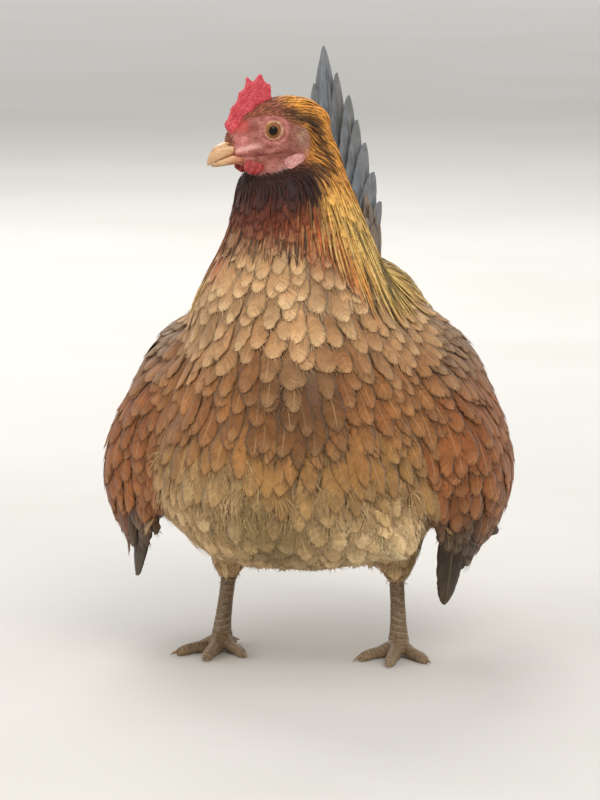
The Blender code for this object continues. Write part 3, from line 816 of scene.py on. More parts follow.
class Regions:
    """Soft shares, 0 to 1, of each point in the parts of the plumage."""

    def __init__(self, points, wing):
        x, y, z = points.T
        f, _, h = head_frame(points)
        self.x, self.y, self.z, self.f, self.h = x, y, z, f, h
        # Whatever reaches further out than the trunk does is wing.
        self.wing = np.maximum(ease(0.25, 0.75, wing), ease(98, 103, np.abs(x)))
        by_head = ease(52, 42, np.linalg.norm(points - head_point(-6, 0, 2), axis=1))
        self.head = by_head * ease(296, 304, z + 0.35 * f)
        self.bare = bareness(points)
        self.off = off = neck_bearing(points)
        start = np.interp(z, (232, 261, 284, 300), (76, 64, 70, 80))
        falls = ease(start - 9, start + 11, off) * ease(224, 246, z + 0.15 * y)
        above = np.maximum(ease(60, 26, y), ease(262, 276, z))
        self.hackle = falls * (1 - self.head) * (1 - self.wing) * above
        self.front = 1 - ease(40, 72, off)
        self.back = ease(15, 45, y) * ease(195, 225, z) * (1 - self.wing)
        self.rear = ease(70, 105, y) * (1 - self.wing) * (1 - self.back)
        uneven = 6 * np.sin(0.075 * x + 1.0) + 4 * np.sin(0.17 * x + 0.06 * z) + 5 * np.sin(0.05 * y)
        self.belly = ease(148, 108, z + 0.13 * x + uneven) * (1 - self.wing)
        self.thigh = ease(84, 66, z) * (1 - self.wing)


def markings(r):
    """The plumage's colour at each place of the regions r, with shade painted on the belly's lower middle and
    the wing's lower part.
    """
    off_wing = 1 - r.wing
    colour = mix(BREAST_LOW, BREAST, ease(135, 175, r.z))
    middle = hill(r.x - 9, 28) * ease(226, 198, r.z) * ease(150, 172, r.z)
    colour = colour * (1 - np.array((0.58, 0.60, 0.74)) * middle[:, None])
    uneven = 7 * np.sin(0.11 * r.x + 0.5) + 6 * np.sin(0.07 * r.x - 0.13 * r.z)
    colour = mix(colour, BREAST_UP, ease(184, 244, r.z + uneven))
    colour = mix(colour, MAHOGANY, ease(262, 286, r.z + 0.05 * r.x) * off_wing)
    colour = mix(colour, THROAT, ease(286, 300, r.z) * off_wing)
    # Rust red between the dark throat and the golden hackle.
    rust = hill(r.off - 60, 19) * ease(250, 262, r.z) * ease(302, 284, r.z) * off_wing
    colour = mix(colour, (0.34, 0.080, 0.024), rust * 0.8)
    colour = mix(colour, BUFF, r.belly)
    # Painted shade on the lower middle of the belly.
    shaded = hill(r.x + 5, 34) * ease(60, 90, r.z) * r.belly * (r.y < 0)
    colour = colour * (1 - np.array((0.50, 0.50, 0.60)) * shaded[:, None])
    clump = hill(r.x - 64, 24) * hill(r.z - 84, 19) * (r.y < -20) * off_wing
    # The wing darkens towards its bottom: painted shade.
    wing = mix(SHADED_RUST, RUST, ease(74, 118, r.z))
    wing = mix(wing, GREY_BROWN, ease(168, 205, r.z) * 0.75)
    wing = mix(wing, (0.050, 0.030, 0.019), ease(116, 108, np.abs(r.x)) * ease(116, 98, r.z) * 0.9)
    gold = mix(NAPE, GOLD, ease(322, 282, r.z) * ease(52, 96, r.off))
    head = mix(CROWN, NAPE, ease(-1, -14, r.f + 0.35 * (18 - r.h)))
    band = hill(inside_face(r.f, r.h) + 4.0, 4.2) * ease(15, 9, r.h) * ease(-3, -11, r.f)
    head = mix(head, DARK_BAND, band * 0.95)
    head = mix(head, THROAT, ease(-18, -27, r.h) * ease(-30, -18, r.f))
    for tone, share in (
        ((0.90, 0.74, 0.46), clump * 0.9),
        (GREY_BROWN, r.back),
        (mix(BUFF, GREY_BROWN, 0.5), r.rear),
        (wing, r.wing),
        (mix(gold, (0.42, 0.115, 0.030), rust * 0.7), r.hackle),
        (head, r.head),
    ):
        colour = mix(colour, tone, share)
    return np.clip(colour, 0.002, 0.95)


def contour_sizes(r):
    """Spacing, length and width of the body's feathers at each place."""
    wing = mix(6.6, 7.8, ease(80, 120, r.z)) * mix(1.0, 0.75, ease(185, 215, r.z))
    spacing = mix(8.8, 8.4, ease(150, 200, r.z))
    for apart, share in (
        (7.6, ease(215, 250, r.z)), (5.0, ease(255, 280, r.z)), (8.2, r.back), (wing, r.wing), (7.5, r.thigh),
    ):
        spacing = mix(spacing, apart, share)
    length = spacing * mix(2.9, 3.3, ease(200, 150, r.z))
    return spacing, mix(length, spacing * 3.6, r.back), spacing * 1.9


def covered(hide):
    """0 where nothing needs feathers: the wings' inner faces and rims, and the ends of the thighs."""
    outward = hide.normals[:, 0] * np.sign(hide.points[:, 0])
    inner = hide.wing * ease(0.25, -0.05, outward) * ease(70, 40, hide.points[:, 1])
    rim = hide.wing * ease(-0.45, -0.75, hide.normals[:, 2])
    low = hide.points[:, 2]
    end = ease(48, 44, low) + ease(62, 56, low) * ease(-0.5, -0.75, hide.normals[:, 2])
    return np.clip(1 - inner - rim - end, 0, 1)


def contour_feathers(hide, regions, base):
    """All the broad feathers of the body and wings, in one coat piece for each part of the body."""
    spacing, length, width = contour_sizes(regions)
    density = (1 - ease(0.35, 0.8, regions.head)) * (1 - 0.6 * regions.hackle)
    density *= 1 - 0.75 * ease(276, 292, regions.z)
    density *= ease(0.5, 0.1, regions.bare) * covered(hide)
    roots = Roots(hide, density, spacing, seed=11)
    rng = np.random.default_rng(12)
    count = roots.count
    reach = roots.pick(length) * rng.uniform(0.75, 1.2, count)
    half = roots.pick(width) / 2 * rng.uniform(0.75, 1.2, count)
    wing, back, z = roots.pick(regions.wing), roots.pick(regions.back), roots.pick(regions.z)
    belly, thigh = roots.pick(regions.belly), roots.pick(regions.thigh)
    reach *= mix(1.0, 0.62, thigh)
    half *= mix(1.0, 0.7, thigh)
    way = roots.turned(rng.normal(0, 0.16, count) + 0.16 * wing * rng.normal(0, 1, count))
    t = coat_stations(14)
    lines, ups = trace(hide, roots.places, way, reach, t)
    sway = np.cross(ups[:, 0], way) * (rng.normal(0, 0.06, count) * reach)[:, None]
    lines = lines + sway[:, None] * (t**2)[None, :, None]
    # Feathers that would stand off the body, or hang loose inside the wing's lower end, are left out.
    gap = np.linalg.norm(lines[:, -1] - hide.at(lines[:, -1])[0], axis=1) / reach
    course, side = unit(lines[:, -1] - lines[:, 0]), np.sign(lines[:, 0, 0])
    hanging = ease(110, 90, z) * wing * ease(0.75, 0.9, -course[:, 2])
    stray = (course[:, 0] * side > 0.3) | (roots.normal[:, 0] * side < 0.3) & (z < 90)
    kept = (gap < mix(0.45, 0.75, hanging)) & ~((wing > 0.5) & (z < 105) & stray)
    rise = (0.7 + 0.055 * reach * rng.uniform(0.7, 1.3, count))[:, None] * t[None] ** 0.9
    rise += 0.035 * reach[:, None] * belly[:, None] * rng.normal(0.4, 1, count)[:, None] * t[None] ** 2
    lines = lines + ups * (rise + 0.25)[..., None]
    point = np.clip(0.15 + 0.5 * ease(200, 150, z) * (1 - wing) * (1 - belly) + 0.3 * back, 0, 0.8)
    shape = leaf(t[None], root=0.5, widest=0.62, point=point[:, None]) * half[:, None]
    colour = shades(roots.pick(base), rng, 0.10)
    pale_up = ease(190, 245, z) * (1 - wing) * (1 - back) * ease(285, 262, z)
    lace = (0.42 + 0.4 * pale_up) * rng.uniform(0.5, 1.2, count) * ease(285, 262, z) * (1 - 0.4 * belly)
    lace = np.clip(lace, 0, 1)
    shaft = np.clip(0.20 - 0.08 * pale_up - 0.25 * belly, 0, 1) * rng.uniform(0.1, 1.3, count)
    shaft = shaft * ease(280, 255, z)
    edge = mix(mix(colour, CREAM, 0.25), CREAM, 0.5 * pale_up)
    roll = rng.normal(0, 0.08, count)
    fluff = np.clip(belly + thigh, 0, 1)
    left = hide.points[roots.corners[:, 0], 0] > 0
    trunk = (wing <= 0.5) & (back <= 0.5)
    groups = (
        ("coat_wing_left", "plumage_brown", (wing > 0.5) & left),
        ("coat_wing_right", "plumage_brown", (wing > 0.5) & ~left),
        ("coat_breast", "plumage_breast", trunk & (z > 165)),
        ("coat_belly", "plumage_buff", trunk & (z <= 165)),
        ("coat_back", "plumage_brown", (wing <= 0.5) & (back > 0.5)),
    )
    feathers = (roots.face, lines, ups, shape, with_alpha(colour, shaft), with_alpha(edge, lace))
    tips = (roots.face, lines, ups, half, point, colour, edge, lace, fluff)
    for name, slot, chosen in groups:
        chosen = chosen & kept
        coat = Coat(hide)
        for loose, fray in ((False, 0.36), (True, 0.6)):
            some = chosen & ((fluff > 0.5) == loose)
            if some.any():
                vanes(
                    coat, *picked(some, *feathers), BROAD,
                    camber=0.17, thick=0.2, fray=fray, rng=rng, roll=roll[some],
                )
        fringe(coat, *picked(chosen, *tips), rng)
        coat.finish(name, VANE_LOOK, slot)


def fringe(coat, face, lines, ups, half, point, colour, edge, lace, loose, rng, barbs=9):
    """Loose barbs that stand past the rim of each feather's tip and soften it."""
    count = len(face)
    which = np.repeat(np.arange(count), barbs)
    u = np.tile(np.linspace(-0.95, 0.95, barbs), count) + rng.normal(0, 0.10, count * barbs)
    row = np.where(np.abs(u) > 0.65, -4, -3)
    along, across, up = (some[which, row] for some in frames_of(lines, ups))
    wide = half[which]
    at = lines[which, row] + across * (u * wide * (1 - 0.35 * point[which]) * 0.72)[:, None]
    way = unit(along + across * (u * rng.uniform(0.3, 0.8, len(which)))[:, None])
    reach = wide * rng.uniform(0.45, 0.95, len(which)) * (1 - 0.25 * np.abs(u)) * (1 + 0.6 * loose[which])
    strand = at[:, None] + way[:, None] * (reach[:, None] * np.array((0.0, 0.5, 1.0)))[..., None]
    bend = np.array((0.0, 0.12, -0.1)) - 0.10 * wide[:, None] * (u**2)[:, None]
    strand += up[:, None] * bend[..., None]
    shape = np.array((0.32, 0.22, 0.04)) * rng.uniform(0.6, 1.3, len(which))[:, None]
    tone = with_alpha(shades(mix(colour, edge, lace)[which], rng, 0.06), 0)
    strands(coat, face[which], strand, np.repeat(up[:, None], 3, 1), shape, tone, tone, thick=0.10, sides=3)


def hackle(hide, regions, base):
    """The long narrow feathers that fall from the nape over the neck and shoulders."""
    spacing = mix(2.35, 1.75, ease(285, 320, regions.z))
    upper_neck = ease(268, 284, regions.z) * (1 - regions.head) * (1 - regions.wing)
    density = np.maximum(np.maximum(regions.hackle, upper_neck), regions.head * ease(-20, -28, regions.f))
    density *= ease(0.3, 0.05, regions.bare)
    density *= ease(232, 246, regions.z + 0.25 * regions.y) * covered(hide)
    roots = Roots(hide, density, spacing, seed=21)
    rng = np.random.default_rng(22)
    count, z, front = roots.count, roots.pick(regions.z), roots.pick(regions.front)
    reach = mix(38.0, 12.0, ease(255, 330, z)) * rng.uniform(0.7, 1.15, count)
    reach *= mix(1.0, 0.62, front)
    half = mix(1.35, 0.95, ease(255, 330, z)) * rng.uniform(0.65, 1.3, count)
    t = coat_stations(8)
    lines, ups = trace(hide, roots.places, roots.turned(rng.normal(0, 0.09, count)), reach, t, sag=0.45)
    rise = (0.45 + 0.05 * reach * rng.uniform(0.6, 1.3, count))[:, None] * np.sin(t[None] * 1.6) ** 0.8
    lines = lines + ups * (rise + 0.2)[..., None]
    shape = leaf(t[None], root=0.55, widest=0.45, point=0.85) * half[:, None]
    colour = shades(roots.pick(base), rng, 0.15, 0.05)
    golden = (1 - front) * ease(305, 275, z)
    colour = mix(colour, PALE_GOLD, (rng.random(count) < 0.45) * 0.6 * golden)
    edge = mix(colour, PALE_GOLD, 0.5 * golden)
    dark = (rng.random(count) < mix(0.30, 0.03, ease(255, 300, z))) * rng.uniform(0.6, 0.95, count)
    colour = mix(colour, BLACK_BROWN, dark)
    feathers = (roots.face, lines, ups, shape, with_alpha(colour, 0.2), with_alpha(edge, 0.6))
    for name, chosen in in_thirds("coat_hackle", z):
        coat = Coat(hide)
        strands(coat, *picked(chosen, *feathers), thick=0.16, roll=rng.normal(0, 0.18, chosen.sum()))
        coat.finish(name, STRAND_LOOK, "plumage_gold")


def head_feathers(hide, regions, base):
    """Tiny feathers of crown, cheeks and throat, and sparse bristles on the bare face."""
    rng = np.random.default_rng(32)
    coat = Coat(hide)
    small = np.clip(0.95 + 0.018 * (20 - regions.f), 0.95, 2.0)
    density = ease(0.2, 0.6, regions.head) * ease(0.5, 0.15, regions.bare) * ease(-36, -26, regions.f)
    roots = Roots(hide, density, small, seed=31)
    count = roots.count
    reach = roots.pick(small) * 3.1 * rng.uniform(0.8, 1.2, count)
    half = roots.pick(small) * 0.58 * rng.uniform(0.8, 1.2, count)
    t = coat_stations(5)
    lines, ups = trace(hide, roots.places, roots.turned(rng.normal(0, 0.14, count)), reach, t)
    rise = (0.10 + 0.08 * reach * rng.uniform(0.6, 1.3, count))[:, None] * t[None]
    lines = lines + ups * (rise + 0.1)[..., None]
    shape = leaf(t[None], root=0.5, widest=0.5, point=0.7) * half[:, None]
    colour = shades(roots.pick(base), rng, 0.16, 0.05)
    strands(
        coat, roots.face, lines, ups, shape, with_alpha(colour, 0.2),
        with_alpha(mix(colour, GOLD, 0.15), 0.5), thick=0.12, roll=rng.normal(0, 0.2, count),
    )
    # Bristles: many by the ear, few elsewhere on the face.
    ear = hill(regions.f + 17.5, 4.5) * hill(regions.h + 5, 4.5)
    brow = hill(regions.h - 8, 1.6) * ease(-14, -6, regions.f) * 0.5
    sparse = regions.bare * np.clip(0.06 + ear * 0.7 + brow, 0, 1)
    sparse = sparse * ease(7.2, 8.2, np.hypot(regions.f, regions.h)) * ease(20, 14, regions.f)
    roots = Roots(hide, sparse, np.full(len(sparse), 1.3), seed=33)
    count, by_ear = roots.count, roots.pick(ear)
    reach = mix(2.2, 4.4, by_ear) * rng.uniform(0.7, 1.3, count)
    lines, ups = trace(hide, roots.places, None, reach, t)
    lines = lines + ups * (rng.uniform(0.2, 0.45, count)[:, None] * reach[:, None] * t[None])[..., None]
    half = mix(0.10, 0.15, by_ear)[:, None] * leaf(t[None], root=0.9, widest=0.2, point=0.9)
    tone = mix(np.broadcast_to((0.16, 0.045, 0.030), (count, 3)), (0.34, 0.20, 0.10), by_ear)
    tone = with_alpha(shades(tone, rng, 0.3), 0)
    strands(coat, roots.face, lines, ups, half, tone, tone, thick=0.1)
    coat.finish("coat_head", STRAND_LOOK, "plumage_crown")


def fluff(hide, regions, base):
    """Loose downy tufts over belly, thighs and vent: each is a fan of fine blades."""
    rng = np.random.default_rng(42)
    spacing = mix(5.9, 4.6, regions.thigh)
    density = np.clip(regions.belly**2 + 0.8 * regions.rear * ease(190, 150, regions.z), 0, 1) * covered(hide)
    density *= mix(0.5, 1.0, np.maximum(regions.thigh, regions.rear))
    roots = Roots(hide, density, spacing, seed=41)
    z, count, blades = roots.places[:, 2], roots.count, 15
    tuft = np.repeat(np.arange(count), blades)
    turn = rng.normal(0, 0.4, count)[tuft] * ease(52, 70, z[tuft])
    fan = np.tile(np.linspace(-0.75, 0.75, blades), count) + rng.normal(0, 0.10, count * blades) + turn
    size = mix(21.0, 13.0, ease(90, 60, z)) * rng.uniform(0.8, 1.2, count)
    reach = size[tuft] * (1 - 0.30 * np.abs(fan - turn)) * rng.uniform(0.75, 1.1, len(tuft))
    t = coat_stations(5)
    aside = np.cross(roots.normal, roots.flow)[tuft]
    start = roots.places[tuft] + aside * ((fan - turn) * 2.2)[:, None]
    lines, ups = trace(hide, start, roots.turned(fan, tuft), reach, t)
    lift = rng.uniform(0.03, 0.10, count)[tuft][:, None] * reach[:, None] * np.sin(t[None] * 1.9)
    lines = lines + ups * (lift + 1.1)[..., None]
    half = 0.25 * leaf(t[None], root=0.7, widest=0.35, point=0.9) * rng.uniform(0.6, 1.3, len(tuft))[:, None]
    pale = shades(roots.pick(base), rng, 0.09)
    colour = shades(mix(pale, CREAM, 0.12)[tuft], rng, 0.04)
    edge = with_alpha(mix(colour, CREAM, 0.2), 0.4)
    plumes = (roots.face[tuft], lines, ups, half, with_alpha(colour, 0), edge)
    for name, tufts in in_thirds("coat_fluff", z):
        coat = Coat(hide)
        strands(coat, *picked(tufts[tuft], *plumes), thick=0.11, sides=3)
        coat.finish(name, STRAND_LOOK, "plumage_buff")


# ---- tail and flight feathers ----


def stiff_lines(roots, tips, flat, bends, stations):
    """Centre lines of stiff feathers, bent along their flat side, and that side's direction."""
    way = tips - roots
    length = np.linalg.norm(way, axis=1, keepdims=True)
    along = way / length
    flat = on_surface(flat, along)
    t = stations[None, :, None]
    curve = (bends * length[:, 0])[:, None, None] * 4 * t * (1 - t)
    lines = roots[:, None] + way[:, None] * t + flat[:, None] * curve
    return lines, np.broadcast_to(flat[:, None], lines.shape)


def stiff_feathers(name, hide, roots, tips, flat, wide, bends, colour, edge, slot, seed):
    """Large feathers with a shaft that stands out, as one piece."""
    rng = np.random.default_rng(seed)
    stations = coat_stations(34)
    lines, ups = stiff_lines(roots, tips, flat, bends, stations)
    shape = leaf(stations[None], root=0.55, widest=0.42, point=0.15) * wide[:, None] / 2
    coat = Coat(hide)
    face, roll = hide.at(roots)[3], rng.normal(0, 0.05, len(roots))
    vanes(
        coat, face, lines, ups, shape, colour, edge,
        STIFF, camber=0.10, thick=0.7, fray=0.10, rng=rng, roll=roll,
    )
    rachis = np.minimum(0.85, 0.9 * (1 - stations[None] * 0.85)) * np.ones((len(roots), 1))
    shaft = with_alpha(mix(colour[:, :3], CREAM, 0.22), 0)
    strands(coat, face, lines + ups * 0.45, ups, rachis, shaft, shaft, thick=0.55)
    return coat.finish(name, VANE_LOOK, slot)


def tail(hide):
    """Two half fans of stiff feathers, which lean as the whole tail does."""
    c, s = math.cos(TAIL_LEAN), math.sin(TAIL_LEAN)
    lean = np.array(((c, 0, -s), (0, 1, 0), (s, 0, c)))
    feathers = []
    for side in (-1, 1):
        for k, (aside, behind, up) in enumerate(TAIL_TIPS):
            root = TAIL_ROOT + lean @ (side * (1.5 + 1.6 * k), -10 - 0.6 * k, -4 - 2.0 * k)
            tip = TAIL_ROOT + lean @ (side * aside, behind, up - (5 if side < 0 else 0))
            feathers.append((root, tip, (side, -0.42 if side > 0 else -1.0, 0.15), 27 - k))
    count = len(feathers)
    rng = np.random.default_rng(51)
    colour = shades(np.broadcast_to(SLATE, (count, 3)), rng, 0.12)
    edge = mix(colour, (0.19, 0.20, 0.20), 0.6)
    shapes = [np.array(some, float) for some in zip(*feathers)]
    feathers = stiff_feathers(
        "tail_feathers", hide, *shapes, np.full(count, 0.02),
        with_alpha(colour, 0.15), with_alpha(edge, 0.5), "plumage_slate", 52,
    )
    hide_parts("tail")
    tail_coverts(hide, lean)


def tail_coverts(hide, lean):
    """Shorter feathers all round the tail's root, lying up along it."""
    rng = np.random.default_rng(53)
    count = 110
    turn = rng.uniform(0, math.tau, count)
    ring = rng.uniform(0.0, 1.0, count)
    wide, deep = 17 + 8 * ring, 15 + 8 * ring
    place = np.stack([np.cos(turn) * wide, np.sin(turn) * deep, 2 - 16 * ring], 1)
    out = np.stack([np.cos(turn), np.sin(turn), np.zeros(count)], 1)
    way = unit(out * (0.10 + 0.12 * ring)[:, None] + (0, 0.40, 0.9))
    size = (44 - 14 * ring) * rng.uniform(0.8, 1.2, count)
    roots = TAIL_ROOT + place @ lean.T
    tips = roots + (way * size[:, None]) @ lean.T
    t, flat = coat_stations(12), (out + (0, -0.1, 0)) @ lean.T
    lines, ups = stiff_lines(roots, tips, flat, rng.uniform(0.03, 0.07, count), t)
    shape = leaf(t[None], root=0.5, widest=0.5, point=0.35) * rng.uniform(6.0, 8.5, count)[:, None]
    colour = shades(np.broadcast_to(mix(SLATE, GREY_BROWN, 0.6), (count, 3)) * 0.7, rng, 0.25)
    coat = Coat(hide)
    vanes(
        coat, hide.at(roots)[3], lines, ups, shape, with_alpha(colour, 0.2),
        with_alpha(mix(colour, GREY_BROWN, 0.7), 0.5), BROAD, camber=0.14, thick=0.5, fray=0.2, rng=rng,
    )
    coat.finish("coat_tail_coverts", VANE_LOOK, "plumage_slate")


def flight_feathers(hide, name, side, tip_out, tip_low, seed):
    """Eight primaries and seven secondaries, which hang under the wing's coverts."""
    feathers = []
    for k in range(8):
        t = k / 7
        root = (side * (95 + 9 * t), -22 + 34 * t, 98 + 7 * t)
        tip = (side * (tip_out + 3 * t), 14 + 74 * t, tip_low + 14 + 20 * t)
        feathers.append((root, tip, (side * (0.45 + 0.6 * t), -0.8 + 1.2 * t, 0.35), 19, 0.0))
    for k in range(7):
        t = k / 6
        root = (side * (104 - 6 * t), 14 + 48 * t, 104 + 8 * t)
        tip = (side * (tip_out + 3 - 16 * t), 96 + 56 * t, tip_low + 32 + 34 * t)
        feathers.append((root, tip, (side, 0.2, 0.35), 22, 0.6))
    *shapes, rust = (np.array(some, float) for some in zip(*feathers))
    count = len(rust)
    rng = np.random.default_rng(seed)
    # The secondaries take in rust darkened by painted shade.
    colour = shades(mix(np.broadcast_to((0.062, 0.040, 0.026), (count, 3)), SHADED_RUST, rust), rng, 0.15)
    feathers = stiff_feathers(
        f"quills_{name}", hide, *shapes, np.full(count, 0.03),
        with_alpha(colour, 0.3), with_alpha(mix(colour, GREY_BROWN, 0.25), 0.5), "plumage_dark", seed,
    )
    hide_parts(f"flight_feathers_{name}")


# ---- materials ----


class Nodes:
    """A material's node tree, built in few words."""

    def __init__(self, name, **settings):
        self.material = bpy.data.materials.new(name)
        self.material.use_nodes = True
        self.tree = self.material.node_tree
        self.shader = self.tree.nodes["Principled BSDF"]
        for socket, value in settings.items():
            self.shader.inputs[socket.replace("_", " ")].default_value = value

    def add(self, kind, inputs=(), **settings):
        made = self.tree.nodes.new(kind)
        for key, value in settings.items():
            setattr(made, key, value)
        for key, value in dict(inputs).items():
            if isinstance(value, bpy.types.NodeSocket):
                self.tree.links.new(value, made.inputs[key])
            else:
                made.inputs[key].default_value = value
        return made

    def math(self, operation, a, b=0.0):
        return self.add("ShaderNodeMath", {0: a, 1: b}, operation=operation).outputs[0]

    def soft(self, value, low, high, to_low=0.0, to_high=1.0):
        inputs = {"Value": value, "From Min": low, "From Max": high, "To Min": to_low, "To Max": to_high}
        return self.add("ShaderNodeMapRange", inputs, interpolation_type="SMOOTHSTEP").outputs["Result"]

    def times(self, a, b):
        return self.math("MULTIPLY", a, b)

    def mix(self, share, a, b, blend="MIX"):
        a, b = (some if isinstance(some, bpy.types.NodeSocket) else (*some, 1.0) for some in (a, b))
        made = self.add("ShaderNodeMix", {0: share, 6: a, 7: b}, data_type="RGBA", blend_type=blend)
        return made.outputs[2]

    def tinted(self, colour, share, dark, light):
        """The colour times a tint, which goes from dark to light as the share grows."""
        return self.mix(1.0, colour, self.mix(share, dark, light), "MULTIPLY")

    def shadowed(self, share, colour, tint):
        """Painted shade: the colour times a darker tint, where the share is 1."""
        return self.mix(share, colour, self.mix(1.0, colour, tint, "MULTIPLY"))

    def cells(self, scale):
        return self.add("ShaderNodeTexVoronoi", {"Vector": self.place(), "Scale": scale}).outputs["Distance"]

    def noise(self, scale, detail=2.0, vector=None, roughness=0.5):
        inputs = {"Scale": scale, "Detail": detail, "Roughness": roughness, "Vector": vector or self.place()}
        return self.add("ShaderNodeTexNoise", inputs).outputs["Fac"]

    def place(self):
        return self.add("ShaderNodeTexCoord").outputs["Object"]

    def attribute(self, name):
        return self.add("ShaderNodeAttribute", attribute_name=name).outputs

    def vane(self):
        """How far across from the shaft, 0 to 1, and how far along, for each place on a feather."""
        uv = self.add("ShaderNodeUVMap", uv_map="Vane").outputs[0]
        parts = self.add("ShaderNodeSeparateXYZ", {0: uv}).outputs
        across = self.add("ShaderNodeMath", {0: parts[0], 1: 2.0, 2: -1.0}, operation="MULTIPLY_ADD")
        return self.math("ABSOLUTE", across.outputs[0]), parts[1]

    def finish(self, colour, height=None, depth=0.0002, strength=1.0):
        self.tree.links.new(colour, self.shader.inputs["Base Color"])
        if height is not None:
            bump = self.add("ShaderNodeBump", {"Height": height, "Distance": depth, "Strength": strength})
            self.tree.links.new(bump.outputs[0], self.shader.inputs["Normal"])
        return self.material


def vane_look():
    n = Nodes(
        "feather_vane", Roughness=0.62, Specular_IOR_Level=0.3, Sheen_Weight=0.08, Sheen_Roughness=0.5,
    )
    base, edge = n.attribute("Base"), n.attribute("Edge")
    aside, along = n.vane()
    place = n.add("ShaderNodeSeparateXYZ", {0: n.place()}).outputs
    barb = n.math("SUBTRACT", n.times(along, 34.0), n.times(aside, 7.0))
    vector = {0: barb, 1: n.times(place[0], 90.0), 2: n.times(place[2], 60.0)}
    barbs = n.noise(1.0, 2.0, n.add("ShaderNodeCombineXYZ", vector).outputs[0], 0.6)
    rim = n.math("MAXIMUM", n.soft(aside, 0.45, 1.05), n.soft(along, 0.60, 0.98))
    colour = n.mix(n.times(rim, edge["Alpha"]), base["Color"], edge["Color"])
    colour = n.shadowed(n.soft(along, 0.1, 0.7, 0.3, 0.0), colour, (0.55, 0.42, 0.32))
    streaks = n.tinted(colour, n.soft(barbs, 0.25, 0.75), (0.70, 0.68, 0.64), (1.25, 1.22, 1.18))
    patches = n.soft(n.noise(140.0, 3.0), 0.3, 0.7)
    colour = n.tinted(streaks, patches, (0.86, 0.84, 0.80), (1.10, 1.10, 1.10))
    shaft = n.times(n.soft(aside, 0.09, 0.0), n.soft(along, 1.0, 0.80))
    colour = n.mix(n.times(shaft, base["Alpha"]), colour, CREAM)
    height = n.math("ADD", n.times(barbs, 0.5), n.times(shaft, 0.7))
    return n.finish(colour, height, depth=0.00035, strength=0.8)


def strand_look():
    n = Nodes(
        "feather_strand", Roughness=0.58, Specular_IOR_Level=0.25, Sheen_Weight=0.04, Sheen_Roughness=0.5,
    )
    base, edge = n.attribute("Base"), n.attribute("Edge")
    aside, along = n.vane()
    rim = n.times(n.soft(aside, 0.35, 0.95), edge["Alpha"])
    colour = n.mix(rim, base["Color"], edge["Color"])
    colour = n.shadowed(n.soft(along, 0.0, 0.6, 0.25, 0.0), colour, (0.55, 0.42, 0.32))
    fine = n.soft(n.noise(420.0, 2.0), 0.3, 0.7)
    colour = n.tinted(colour, fine, (0.80, 0.77, 0.72), (1.18, 1.16, 1.12))
    return n.finish(colour, fine, depth=0.00012, strength=0.6)


def skin_look():
    """Bare red face where the marks' alpha is 1; elsewhere hide in the plumage's colour, darker as painted
    shade.
    """
    n = Nodes(
        "hen_skin", Roughness=0.55, Subsurface_Weight=0.12, Subsurface_Scale=0.0012, Specular_IOR_Level=0.4,
    )
    n.shader.inputs["Subsurface Radius"].default_value = (1.0, 0.35, 0.25)
    marks = n.attribute("Marks")
    cells = n.cells(1050.0)
    patches = n.soft(n.noise(260.0, 4.0), 0.35, 0.68)
    fine = n.noise(1500.0, 2.0)
    red = n.tinted(marks["Color"], patches, (0.80, 0.72, 0.72), (1.12, 1.25, 1.22))
    red = n.shadowed(n.soft(cells, 0.25, 0.7, 0.0, 0.35), red, (0.5, 0.35, 0.35))
    colour = n.mix(marks["Alpha"], marks["Color"], red)
    bumps = n.math("ADD", n.times(n.soft(cells, 0.75, 0.1), 0.8), n.times(fine, 0.5))
    height = n.times(bumps, marks["Alpha"])
    return n.finish(colour, height, depth=0.00030, strength=0.8)


def flesh_look(name, colour, light, dark, scale, roughness=0.42):
    """Comb, wattles and ear lobes: soft red skin with fine grains, the top of each grain paler as a painted
    highlight.
    """
    n = Nodes(
        name, Roughness=roughness, Subsurface_Weight=0.25, Subsurface_Scale=0.0016, Specular_IOR_Level=0.45,
    )
    n.shader.inputs["Subsurface Radius"].default_value = (1.0, 0.3, 0.2)
    cells = n.cells(scale)
    patches = n.soft(n.noise(300.0, 4.0), 0.3, 0.7)
    made = n.mix(patches, dark, colour)
    # Painted highlights: the light colour on the top of each grain.
    made = n.mix(n.soft(cells, 0.55, 0.1, 0.0, 0.5), made, light)
    height = n.math("ADD", n.soft(cells, 0.7, 0.1), n.times(n.noise(2200.0), 0.4))
    return n.finish(made, height, depth=0.00022, strength=0.8)


def horn_look(name, pale, dark, scale=260.0):
    n = Nodes(name, Roughness=0.38, Specular_IOR_Level=0.5, Subsurface_Weight=0.06, Subsurface_Scale=0.001)
    marks = n.attribute("Marks")
    stretched = n.add("ShaderNodeMapping", {0: n.place(), 3: (1.0, 1.0, 3.2)}).outputs[0]
    grain = n.soft(n.noise(scale, 4.0, stretched), 0.3, 0.72)
    made = n.mix(grain, dark, pale)
    made = n.mix(1.0, made, marks["Color"], "MULTIPLY")
    return n.finish(made, n.noise(1300.0, 3.0, stretched), depth=0.00010, strength=0.6)


def scale_look():
    n = Nodes("leg_scales", Roughness=0.5, Specular_IOR_Level=0.4)
    marks = n.attribute("Marks")
    patches = n.soft(n.noise(420.0, 4.0), 0.3, 0.7)
    made = n.tinted(marks["Color"], patches, (0.72, 0.68, 0.62), (1.15, 1.12, 1.08))
    cells = n.cells(620.0)
    grains = n.times(n.soft(cells, 0.8, 0.2), n.math("SUBTRACT", 1.0, marks["Alpha"]))
    height = n.math("ADD", grains, n.times(n.noise(1800.0), 0.3))
    return n.finish(made, height, depth=0.00025, strength=0.8)


